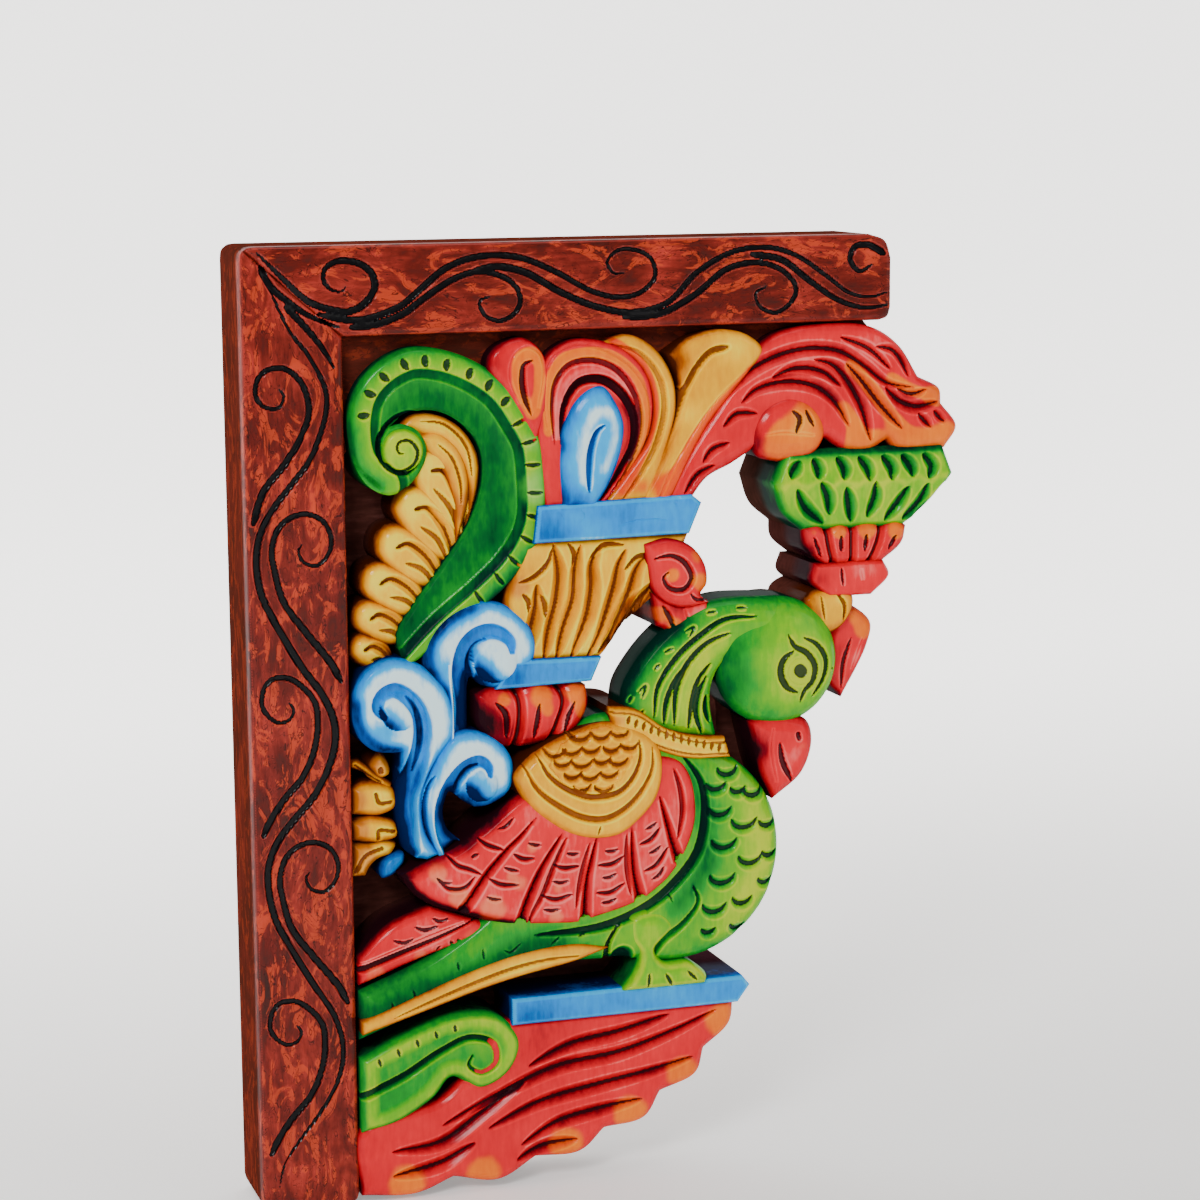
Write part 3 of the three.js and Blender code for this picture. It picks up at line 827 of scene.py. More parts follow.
class BRACKET_OT_plume(bpy.types.Operator):
    """Carve the green plume scroll and its yellow feathers"""

    bl_idname = "bracket.plume"
    bl_label = "Plume scroll"

    def execute(self, context):
        back = curve(VOLUTE_BACK)
        steps = np.gradient(back, axis=0)
        normal = np.stack([steps[:, 1], -steps[:, 0]], axis=1) / np.hypot(*steps.T)[:, None]
        inward = back - normal * 6.0
        nicks = []
        for i, share in enumerate(np.linspace(*NICKED_PART, NICKS)):
            k = int(share * len(inward))
            width, length, lean = (3.8, 2.8, 0.9) if i < NICKS / 2 else (2.4, 3.9, -0.6)
            slant = steps[k] / np.hypot(*steps[k]) * lean
            ends = (inward[k] - normal[k] * length + slant, inward[k], inward[k] + normal[k] * length)
            nicks.append(Cut([tuple(end) for end in ends], width, 1.8))
        whirl = [(62, 92), (63, 98), (69, 101), (75, 100), (79, 95), (78, 90), (74, 88), (71, 90), (72, 93)]
        hollow = [(84, 76), (74, 75), (66, 79), (61, 86), (61, 94), (66, 100), (73, 102), (79, 98)]
        profile = (
            (0, -2.5, 0.32), (1.2, -0.9, 0.40), (2.6, -0.1, 0.54), (6, 0.2, 0.74), (8.7, 0.1, 0.84),
            (9.2, -0.2, 1.0), (9.8, -1.2, 0.12), (13.4, -2.8, 0.20), (14.2, -1.8, 0.60),
            (15.0, -2.5, 0.36), (21, -3.6, 0.26),
        )
        carve(
            "plume_scroll", VOLUTE, "green", 1.5, profile, guide=VOLUTE_BACK, base=PLUME_BASE,
            cuts=[*nicks, Cut(hollow, 3.2, 3.5, shade=0.3, lip=0.1), Cut(whirl, 2.2, 2.5)],
            shades=[
                (72, 91, 9, 0.45), (48, 84, 8, -0.2), (120, 150, 20, -0.12), (78, 180, 14, -0.2),
                *trail([(134, 140), (125, 152), (112, 164), (92, 178)], 7, -0.25),
            ],
            tips=[(134, 112, 12, 0.7), (130, 90, 7, 0.5), (122, 70, 6, 0.3)],
        )
        button = arc(71.5, 91.5, 9.6, 0, 340, 16)
        curl = [(63, 97), (69, 101), (76, 98), (78, 92), (74, 87), (69, 88), (69, 92), (72, 93)]
        carve(
            "plume_eye", button, "green", 1.8, ((0, -1.5, 0.6), (1.4, 0, 0.9)), base=INLAY_BASE,
            dome=(1.5, 9), cuts=[Cut(curl, 2.4, 2.2, "end")], shades=[(66, 86, 7, 0.1)],
        )
        crescents = (
            (
                [
                    (70, 82, 1), (78, 76), (90, 77), (101, 84), (108, 96), (108, 110), (101, 132, 1),
                    (103, 112), (99, 98), (90, 88), (80, 85),
                ],
                -4.5, [(80, 79), (92, 81), (102, 91), (105, 106)],
            ),
            (
                [
                    (80, 86, 1), (88, 84), (98, 91), (103, 103), (103, 116), (97, 136, 1), (95, 114),
                    (90, 100), (84, 94),
                ],
                -3.4, [(88, 89), (95, 96), (99, 108), (99, 118)],
            ),
        )
        for i, (marks, proud, slit) in enumerate(crescents):
            carve(
                f"plume_crescent_{i + 1}", marks, "yellow", proud,
                ((0, -3, 0.12), (1.5, -1, 0.42), (3.5, 0, 0.7)), base=PLUME_BASE,
                cuts=[Cut(slit, 1.8, 1.6, dark=0.8)], shades=[(104, 120, 12, -0.15), (84, 82, 8, 0.2)],
                tips=[(103, 118, 9, 0.8)],
            )
        for i, (out, down, radius, tip_out, tip_down) in enumerate(FEATHERS):
            marks, slit, second = feather(out, down, radius, tip_out, tip_down)
            carve(
                f"plume_feather_{i + 1}", marks, "yellow", -4.6 + 0.3 * i,
                ((0, -4.4, -0.1), (1.1, -2.2, 0.12), (2.6, -0.7, 0.44), (4.6, 0, 0.80)),
                base=PLUME_BASE, dome=(3.4, radius),
                cuts=[
                    Cut(slit, 5.6, 2.4, dark=0, flat=0, lip=0.2, shade=0.45, soft=0),
                    Cut(slit, 2.4, 3.6, "end", dark=0.9), Cut(second, 3.0, 2.0, dark=0.7, shade=0.2),
                ],
                shades=[(out - 2, down - 3, radius * 0.6, 0.25), (tip_out, tip_down, 9, -0.3)],
                tips=[(tip_out, tip_down - 2, 8, 0.8), (out + 9, down + 6, 4, 0.4)], fall=(-1.5, -2.0, 0),
            )
        return {"FINISHED"}


# Wave scrolls
SCROLL_EDGE = ((0, -3.8, 0.28), (0.9, -1.9, 0.42), (2.3, -0.5, 0.56), (3.8, 0, 0.80), (5.8, 0.1, 1.02))


def scroll_channel(line, width, depth, lip=0.25, shade=0.60):
    """The wide shaded hollow that winds up a wave and round its ball."""
    return Cut(line, width, depth, "end", dark=0, lip=lip, shade=shade, flat=0.8, soft=0.1)


def scroll_floor(line, width, depth, shade):
    """The deepest part of that hollow, beside the ball."""
    return Cut(line, width, depth, dark=0.35, lip=0, shade=shade)


class BRACKET_OT_wave(bpy.types.Operator):
    """Carve the three blue wave scrolls and the husk beside them"""

    bl_idname = "bracket.wave"
    bl_label = "Wave scrolls"

    def execute(self, context):
        husk = (
            (
                [
                    (45.5, 231, 1), (50.5, 232), (58.5, 239), (66, 244, 1), (65, 247.5), (57, 243),
                    (52, 238), (45.5, 236, 1),
                ],
                -4.5, [(48, 234), (54, 239), (60, 243)], 1.0,
            ),
            (
                [(54.5, 235), (60, 229), (64.5, 234), (65, 240), (60.5, 242), (57, 239.5)], -5,
                [(60, 237), (60.3, 238.3)], 2.8,
            ),
            (
                [
                    (45.5, 244, 1), (52, 242), (60, 243), (66, 246), (67, 255), (60, 258.5), (52, 258),
                    (45.5, 257, 1),
                ],
                -3, [(57, 248), (58.5, 252), (64, 252)], 2.2,
            ),
            (
                [
                    (45.5, 260, 1), (53, 258), (60, 259), (66.5, 262), (67.5, 269), (60, 271),
                    (52, 270.5), (45.5, 269, 1),
                ],
                -3, [(58, 269), (58, 265), (65.5, 266)], 2.2,
            ),
            (
                [
                    (45.5, 270, 1), (54.5, 270.5), (62, 269.5), (67.5, 272.5), (65, 277.5), (59, 279.5),
                    (55, 283), (53, 287, 1), (45.5, 287, 1),
                ],
                -5.5, [(60, 274), (52, 277), (48, 284)], 2.4,
            ),
        )
        for i, (marks, proud, slit, width) in enumerate(husk):
            carve(
                f"wave_husk_{i + 1}", marks, "yellow", proud,
                ((0, -3.6, 0.0), (1.2, -1.5, 0.3), (3.6, 0, 0.74)), base=PLUME_BASE, dome=(2.0, 7),
                cuts=[Cut(slit, width, 1.8, "none", dark=0.9)],
                shades=[(marks[0][0], marks[0][1] + 6, 6, -0.25), (61, marks[0][1] + 4, 4, 0.2)],
                tips=[(48, 250, 7, 0.7), (48, 264, 7, 0.7), (50, 279, 9, 0.9), (59, 236, 6, 0.8)],
            )
        chip = [(59, 283.5), (62.5, 278.5), (70, 276.5), (71, 280.5), (65, 287), (60, 288)]
        carve("wave_chip", chip, "blue", -5, ((0, -2, 0.1), (2, 0, 0.36)), base=PLUME_BASE, dome=(1.5, 6))
        upper = [
            (79, 188.5), (80.5, 179.5), (86.5, 170.5), (95, 164.5), (105, 161.5), (115, 162.5),
            (123, 167.5), (129.5, 175), (132, 183.5), (130.5, 190.5), (126, 196.5), (120, 200.5),
            (113, 201.5), (106, 200, 1), (101.5, 196), (101, 205), (101, 222, 1), (93, 232, 1), (88, 222),
            (88.5, 203), (83, 196),
        ]
        winding = [
            (98, 236), (98, 222), (97.5, 206), (96.5, 195), (97, 187), (99.5, 180.5), (104, 176.5),
            (110, 175), (116, 177), (119.5, 181), (120, 186),
        ]
        carve(
            "wave_scroll_upper", upper, "blue", 4, SCROLL_EDGE, base=WAVE_BASE,
            warp=knob(112, 188.5, 10.2, 1.8),
            cuts=[
                scroll_channel(winding, 13, 6.5, 0.3),
                scroll_floor([(100, 196), (100.5, 188), (103.5, 182), (108, 178.5)], 3.4, 7.5, 0.45),
                Cut([(92.5, 226), (93, 208), (91.5, 196), (91, 188)], 1.2, 0.4, dark=0, lip=0.9, shade=0.1),
            ],
            shades=trail([(83, 193), (82, 184), (86, 174), (94, 168), (103, 165)], 3.6, -0.42)
            + [
                (88, 192, 5, -0.35), (86, 204, 8, -0.5), (99, 214, 9, -0.5), (90, 220, 7, -0.2),
                (126, 192, 4, -0.3), (105, 197, 7, -0.5),
            ],
        )
        left = [
            (45.8, 204.5), (47.5, 196.5), (52.5, 189.5), (60, 185.7), (67.5, 185), (76.5, 188), (83, 193),
            (88.5, 199.5), (92, 207.5), (93.3, 215), (92, 223), (85.5, 231), (80.5, 239.5), (77.5, 248),
            (77, 258), (79, 267.5), (85, 277, 1), (79, 279, 1), (71, 276), (67.5, 265.5), (66, 254),
            (67, 241.5), (68, 228, 1), (62, 228), (55, 226.5), (49, 221), (46, 213),
        ]
        winding = [
            (70, 278), (68.5, 262), (69, 248), (73, 238), (76.5, 227), (77.5, 217), (75.5, 209),
            (70.5, 202.5), (64.5, 199), (58.5, 201.5), (56.5, 206.5), (60, 212),
        ]
        carve(
            "wave_scroll_left", left, "blue", 4.5, SCROLL_EDGE, base=WAVE_BASE,
            warp=knob(66.5, 209, 8.6, 1.8),
            cuts=[
                scroll_channel(winding, 12.5, 6.5),
                scroll_floor([(73, 238), (76.5, 227), (77, 217), (74.5, 208), (70, 202)], 3.6, 7.5, 0.4),
            ],
            shades=trail([(48, 204), (49, 214), (56, 223), (66, 226)], 2.8, -0.42)
            + [(68, 246, 5, -0.2), (67, 262, 5, -0.1), (70, 236, 5, -0.2), (60, 217, 6, -0.35)],
        )
        lower = [
            (86, 229), (90.5, 222.5), (97.5, 220.5), (104.5, 221.3), (111.5, 224.5), (117, 230),
            (120, 236), (120.5, 243), (118.3, 249.5), (113.5, 253.5), (107.5, 255.8), (101.5, 256, 1),
            (96, 252.5), (91.5, 249), (89, 254), (88.3, 259), (90, 266), (95, 271.5, 1), (87.5, 278.5, 1),
            (84, 278), (78.8, 267), (76.8, 258), (77.3, 247), (81, 239),
        ]
        winding = [
            (93, 278), (88, 268), (86.5, 257), (88.5, 248.5), (93, 241), (98.5, 236), (104, 234.5),
            (108, 237.5), (108.5, 242),
        ]
        outer = [(85, 280), (80, 268), (78, 257), (79, 247), (83, 239)]
        carve(
            "wave_scroll_lower", lower, "blue", 5, SCROLL_EDGE, base=WAVE_BASE,
            warp=knob(104.5, 245.5, 7.6, 1.6),
            cuts=[
                scroll_channel(winding, 10.5, 6.0, shade=0.58),
                scroll_floor([(92, 251), (94.5, 243.5), (99, 238), (104, 236)], 3.0, 7.0, 0.4),
                Cut(outer, 2.2, 3.5, dark=0.5, lip=0.2, shade=0.4),
            ],
            shades=[(100, 249, 8, -0.5), (101, 245, 4, -0.15), (112, 252, 5, -0.3)],
        )
        return {"FINISHED"}


# Crest and capital
ROUND_EDGE = ((0, -2.8, 0.20), (0.9, -1.3, 0.40), (2.0, -0.4, 0.55), (3.6, 0, 0.62))
BAR_EDGE = ((0, -1.7, 0.30), (0.3, -1.2, 0.70), (1.5, -0.1, 0.74), (1.9, 0, 0.50))


def petal_gap(line, width, depth):
    """The dark groove between two petals, open at both ends."""
    return Cut(line, width, depth, "none", dark=0.9, flat=0, ink=0.5)


class BRACKET_OT_crest(bpy.types.Operator):
    """Carve the drop, the arch with its bud, the leaves and the acanthus"""

    bl_idname = "bracket.crest"
    bl_label = "Crest"

    def execute(self, context):
        drop = [(128, 43), (114, 48), (111, 56), (119, 68), (133, 92, 1), (139, 74), (138, 52)]
        carve(
            "crest_drop", drop, "red", 2, ROUND_EDGE,
            cuts=[
                Cut([(132, 53), (128, 55), (127, 61), (128, 69), (131, 78)], 3.4, 3.2, dark=0.85),
                Cut(
                    [(126, 74), (121, 60), (123, 51), (129, 47), (135, 50), (137, 58), (134, 76)], 1.2,
                    0.6, dark=0.3,
                ),
            ],
            tips=trail([(131, 78), (124, 62), (126, 51), (133, 50), (135, 60), (133, 76)], 3.0, 0.8),
            shades=[(114, 54, 5, -0.15)],
        )
        arch = [
            (137, 121, 1), (134, 96), (134, 69), (139, 52), (150, 45), (163, 45), (177, 50), (187, 61),
            (190, 75), (187, 91), (177, 107), (166, 121, 1),
        ]
        outer = [
            (139, 88), (137, 66), (142, 52), (154, 47), (167, 50), (180, 59), (187, 71), (187, 89),
            (181, 103), (169, 119),
        ]
        middle = [
            (142, 92), (141, 74), (143, 63), (149, 56), (160, 54), (171, 58), (179, 67), (183, 79),
            (182, 91), (177, 104), (168, 116),
        ]
        inner = [
            (145, 92), (147, 74), (154, 64), (165, 63), (174, 69), (180, 79), (180, 92), (173, 105),
            (163, 119),
        ]
        carve(
            "crest_arch", arch, "red", 1.5, ROUND_EDGE,
            cuts=[
                Cut(outer, 1.6, 0.9, dark=0.45, lip=0.15), Cut(middle, 3.4, 2.6, dark=0.7),
                Cut(inner, 5.0, 5.0, dark=0.9, shade=0.5),
            ],
            tips=trail(
                [
                    (139, 86), (139, 66), (146, 53), (158, 50.5), (171, 53), (182, 63), (186, 78),
                    (184, 95), (174, 112),
                ],
                2.6, 0.95,
            ),
            shades=trail([(144, 88), (144, 72), (150, 61), (160, 58), (170, 61), (177, 70)], 2.2, 0.22)
            + trail([(175, 73), (179, 82), (177, 96), (170, 108)], 2.4, -0.5),
        )
        bud = [
            (145, 121, 1), (144, 98), (146, 84), (151, 73), (158, 67), (165, 66), (171, 73), (175, 83),
            (174, 94), (169, 108), (161, 121, 1),
        ]
        carve(
            "crest_bud", bud, "blue", 5.5,
            ((0, -4.5, 0.2), (1.5, -2.2, 0.4), (4, -0.7, 0.62), (8, 0, 0.7)),
            cuts=[
                Cut(
                    [(165, 83), (161, 86), (158, 94), (157, 104), (157, 114)], 3.6, 2.2, dark=0.6,
                    shade=0.5,
                ),
            ],
            shades=[
                *trail([(154, 110), (155, 92), (160, 78), (167, 77), (170, 88), (165, 104)], 2.4, 0.28),
                (150, 116, 7, -0.3), (146, 92, 4, -0.2), (170, 106, 5, -0.15),
            ],
        )
        leaf = [
            (166, 46, 1), (178, 43), (190, 49), (199, 62), (201, 76), (197, 94), (187, 121, 1),
            (164, 121, 1), (178, 104), (188, 90), (190, 74), (185, 60), (176, 51),
        ]
        carve(
            "crest_leaf", leaf, "leaf", 1.5, ROUND_EDGE,
            cuts=[
                Cut(
                    [(169, 47), (182, 51), (192, 62), (195, 76), (191, 93), (183, 107), (173, 120)], 3.4,
                    2.6, dark=0.6,
                ),
            ],
            tips=trail([(170, 46), (183, 55), (190, 72), (187, 92), (175, 112)], 3.0, 0.7)
            + [(184, 112, 7, 0.5), (172, 116, 7, 0.5)],
            shades=[(196, 72, 6, 0.15)],
        )
        blade = [
            (196, 52, 1), (208, 45), (223, 42), (236, 45), (243, 52), (236, 62), (215, 87), (197, 121, 1),
            (182, 121, 1), (196, 95), (203, 70),
        ]
        carve(
            "crest_blade", blade, "leaf", 3, ROUND_EDGE,
            cuts=[
                Cut(
                    [
                        (225, 50), (217, 52), (210, 59), (204, 70), (200, 82), (195, 93), (189, 106),
                        (184, 119),
                    ],
                    3.8, 3.4, "end", dark=0.75,
                ),
                Cut(
                    [(239, 58), (225, 69), (214, 81), (205, 94), (197, 107), (191, 120)], 1.6, 0.8,
                    "start", dark=0.35,
                ),
            ],
            tips=trail([(238, 61), (218, 82), (205, 100), (196, 118)], 4.2, 0.85) + [(192, 112, 8, 0.6)],
            shades=[(200, 55, 8, -0.5), (228, 50, 9, 0.25), (206, 80, 5, 0.2)],
        )
        acanthus = [
            (194, 121, 1), (207, 97), (222, 76), (236, 56), (250, 45), (276, 41), (298, 43), (312, 52),
            (322, 67, 1), (333, 73), (334, 80, 1), (342, 91), (336, 101, 1), (311, 101), (306, 96, 1),
            (296, 101), (284, 100), (275, 94, 1), (250, 97), (238, 98, 1), (228, 104), (216, 110),
            (207, 121, 1),
        ]
        lines = (
            [
                (207, 98), (218, 78), (231, 65), (245, 57), (258, 53), (270, 52), (282, 54), (294, 61),
                (305, 69), (319, 72),
            ],
            [(268, 57), (278, 60), (286, 68), (293, 81), (297, 96)],
            [(284, 59), (292, 67), (302, 79), (313, 91)],
            [(232, 76), (240, 70), (256, 67), (270, 70), (279, 77), (286, 89)],
            [(247, 65), (260, 61), (273, 63), (282, 70)], [(304, 71), (312, 78), (321, 81), (331, 79)],
        )
        slits = (
            [(281, 47), (296, 53), (307, 63)], [(299, 52), (308, 54), (313, 60), (316, 67)],
            [(223, 87), (230, 81), (240, 81)], [(213, 103), (218, 97), (226, 94)],
            [(204, 117), (211, 108), (219, 104)], [(310, 72), (318, 75), (325, 73)],
            [(321, 84), (328, 91)], [(329, 83), (335, 89)],
        )
        carve(
            "crest_acanthus", acanthus, "red", 2.5,
            ((0, -3.6, 0.25), (1.2, -1.6, 0.5), (3, -0.3, 0.6), (5, 0, 0.66)),
            cuts=channels(lines, 7.6, 2.2, 2.6, 0.4) + channels(slits, 5.0, 1.4, 2.2, 0.3),
            tips=[
                (336, 96, 8, 1), (322, 98, 8, 0.9), (310, 98, 7, 0.9), (300, 96, 6, 0.8),
                (290, 97, 6, 0.9), (330, 77, 5, 0.9), (206, 116, 4, 0.3),
            ]
            + trail([(286, 60), (299, 74), (308, 86), (316, 96)], 4.2, 0.8)
            + trail([(282, 78), (289, 90), (291, 98)], 4, 0.7)
            + trail([(306, 66), (320, 74), (332, 76)], 3.4, 0.7),
            shades=[(262, 48, 12, 0.12), (300, 48, 10, 0.14), (240, 66, 8, 0.1), (225, 92, 7, -0.1)],
        )
        ball = [
            (237, 93), (242, 80), (255, 74), (268, 79), (274, 91), (268, 101), (250, 104, 1), (240, 101),
        ]
        carve(
            "crest_ball", ball, "red", 5.5,
            ((0, -5, 0.2), (1.5, -2.4, 0.45), (4, -0.8, 0.6), (8, 0, 0.66)),
            cuts=[
                Cut([(256, 80), (260, 84), (258, 91)], 3, 2.4), Cut([(263, 80), (267, 88)], 2.4, 2),
                Cut([(242, 91), (251, 90), (268, 92)], 1.0, 0.5, dark=0.25),
            ],
            tips=[(262, 90, 11, 1.0), (250, 95, 9, 0.9), (266, 82, 7, 0.7)],
            shades=[(240, 95, 5, -0.25), (262, 88, 6, 0.2)],
        )
        return {"FINISHED"}


class BRACKET_OT_capital(bpy.types.Operator):
    """Carve the two blue bars, the fluted capital with its volute, and the lotus"""

    bl_idname = "bracket.capital"
    bl_label = "Capital"

    def execute(self, context):
        bars = (
            (
                "capital_bar",
                [(133, 119, 1), (207, 117, 1), (212, 121, 1), (206, 135, 1), (131, 136, 1)],
                [
                    [(152, 120), (155, 124), (153, 127)],
                    [(170, 130), (176, 128), (186, 127), (196, 128)], [(198, 119), (200, 122)],
                    [(141, 121), (144, 123), (145, 126)],
                ],
            ),
            (
                "capital_sill", [(118, 189, 1), (163, 190, 1), (158, 201, 1), (112, 202, 1)],
                [[(140, 192), (142, 195)], [(151, 197), (152, 200)]],
            ),
        )
        for name, marks, cracks in bars:
            carve(
                name, marks, "blue", 4.5, BAR_EDGE,
                cuts=[Cut(crack, 0.8, 0.35, dark=0.5, lip=0, soft=0) for crack in cracks],
                shades=[
                    (marks[-1][0] + 8, marks[-1][1] - 4, 9, -0.25),
                    (marks[2][0] - 5, marks[2][1] + 5, 8, -0.05),
                ],
            )
        bell = [
            (126, 135, 1), (207, 135, 1), (200, 150), (190, 163), (177, 176), (163, 191, 1), (128, 191, 1),
            (118, 166),
        ]
        flutes = (
            [(141, 137), (144, 150), (143, 163), (139, 177), (136, 190)],
            [(154, 138), (152, 149), (151, 163), (146, 177), (142, 190)],
            [(164, 138), (160, 147), (160, 158), (158, 170), (154, 180), (149, 190)],
            [(176, 141), (173, 148), (171, 158), (167, 171), (163, 181), (157, 190)],
            [(187, 144), (182, 150), (178, 162), (173, 173), (168, 182), (162, 189)],
            [(194, 156), (186, 162), (180, 169), (176, 177), (170, 185)],
            [(133, 155), (133, 166), (130, 178), (127, 188)],
        )
        hooks = (
            [(148, 137), (151, 142), (150, 148)], [(158, 145), (165, 139), (175, 139)],
            [(175, 151), (182, 145), (194, 146)], [(126, 159), (129, 163), (129, 168)],
            [(135, 160), (137, 165), (137, 171)], [(188, 160), (183, 166), (182, 173)],
            [(141, 138), (138, 146), (131, 152), (124, 154)],
        )
        carve(
            "capital_bell", bell, "yellow", 1.5, ((0, -3, 0.15), (1.5, -1, 0.42), (3.5, 0, 0.80)),
            cuts=channels(flutes, 8.5, 4.2, 2.6, 0.5)
            + [Cut(line, 3.0, 2.6, dark=0.8, shade=0.25) for line in hooks],
            shades=[(150, 168, 14, 0.1), (126, 150, 9, -0.25), (160, 186, 9, 0.12), (186, 140, 6, 0.15)],
            tips=[(124, 156, 8, 0.6), (190, 160, 6, 0.5), (150, 140, 5, 0.3), (186, 152, 5, 0.3)],
        )
        curl = [
            (184, 139, 1), (196, 137), (207, 141), (214, 150), (215, 159), (212, 164), (216, 168, 1),
            (204, 170), (194, 167), (188, 160), (186, 150),
        ]
        whorl = [
            (188, 146), (197, 145), (204, 149), (207, 156), (203, 161), (196, 160), (193, 155),
            (196, 152),
        ]
        carve(
            "capital_volute", curl, "red", 5,
            ((0, -3.6, 0.25), (1.2, -1.6, 0.5), (3, -0.3, 0.62), (5, 0, 0.7)),
            cuts=[
                Cut(whorl, 3.4, 3.4, dark=0.8, ink=0.3),
                Cut([(216, 167), (209, 166), (206, 163)], 2.2, 2, dark=0.8),
            ],
            tips=[(197, 154, 4, 0.8), (209, 146, 5, 0.5), (211, 158, 5, 0.8), (199, 141, 5, 0.3)],
        )
        facets = [(188, 162, 1), (201, 168), (216, 167, 1), (218, 176, 1), (204, 184, 1), (191, 178, 1)]
        carve(
            "capital_facets", facets, "red", 2, ((0, -3, 0.2), (2, 0, 0.55)),
            cuts=[
                Cut([(193, 168), (198, 176), (199, 181)], 3, 3, dark=0.8),
                Cut([(204, 170), (207, 178)], 1.2, 0.8, dark=0.4),
            ],
            tips=[(192, 172, 5, 0.8), (200, 178, 5, 0.7)],
            shades=[(211, 173, 5, 0.45), (202, 168, 4, -0.3)], fall=(-1, -3, 0),
        )
        lotus = [
            (103, 204, 1), (112, 201), (121, 203, 1), (132, 200), (142, 203, 1), (149, 201),
            (156, 203, 1), (157, 212), (152, 222), (146, 227, 1), (133, 229), (122, 230, 1), (112, 228),
            (104, 219),
        ]
        carve(
            "capital_lotus", lotus, "red", 3.5,
            ((0, -4, 0.2), (1.5, -1.8, 0.42), (4, -0.3, 0.6), (6, 0, 0.66)),
            cuts=[
                petal_gap([(121, 201), (124, 209), (124, 219), (121, 232)], 5.0, 5),
                petal_gap([(142, 201), (145, 210), (142, 220), (137, 231)], 4.6, 5),
                Cut([(112, 208), (117, 214), (117, 225)], 3.4, 3, dark=0.9),
                Cut([(133, 210), (132, 218), (130, 226)], 3, 2.6),
                Cut([(150, 210), (147, 217), (145, 225)], 2.6, 2.4),
            ],
            tips=[
                (116, 207, 4, 0.7), (134, 206, 6, 0.9), (151, 206, 6, 0.95), (137, 214, 4, 0.6),
                (153, 215, 4, 0.6),
            ],
            shades=[(106, 216, 10, -0.6), (118, 222, 7, -0.45), (130, 224, 6, -0.2)],
        )
        return {"FINISHED"}


# Parrot
SOFT_EDGE = ((0, -7.0, 0.22), (1.0, -4.4, 0.36), (3.0, -2.2, 0.50), (6.0, -0.8, 0.60), (11, 0, 0.66))


def scale_row(marks, width, depth):
    """Scale edges: a small U for each (out, down, radius), over a wide shaded hollow."""
    arcs = [arc(out, down, radius, 8, 172, 7, 0.9) for out, down, radius in marks]
    return channels(arcs, 2.1 * width, 0.6 * depth, width, 0.26, 1.0)


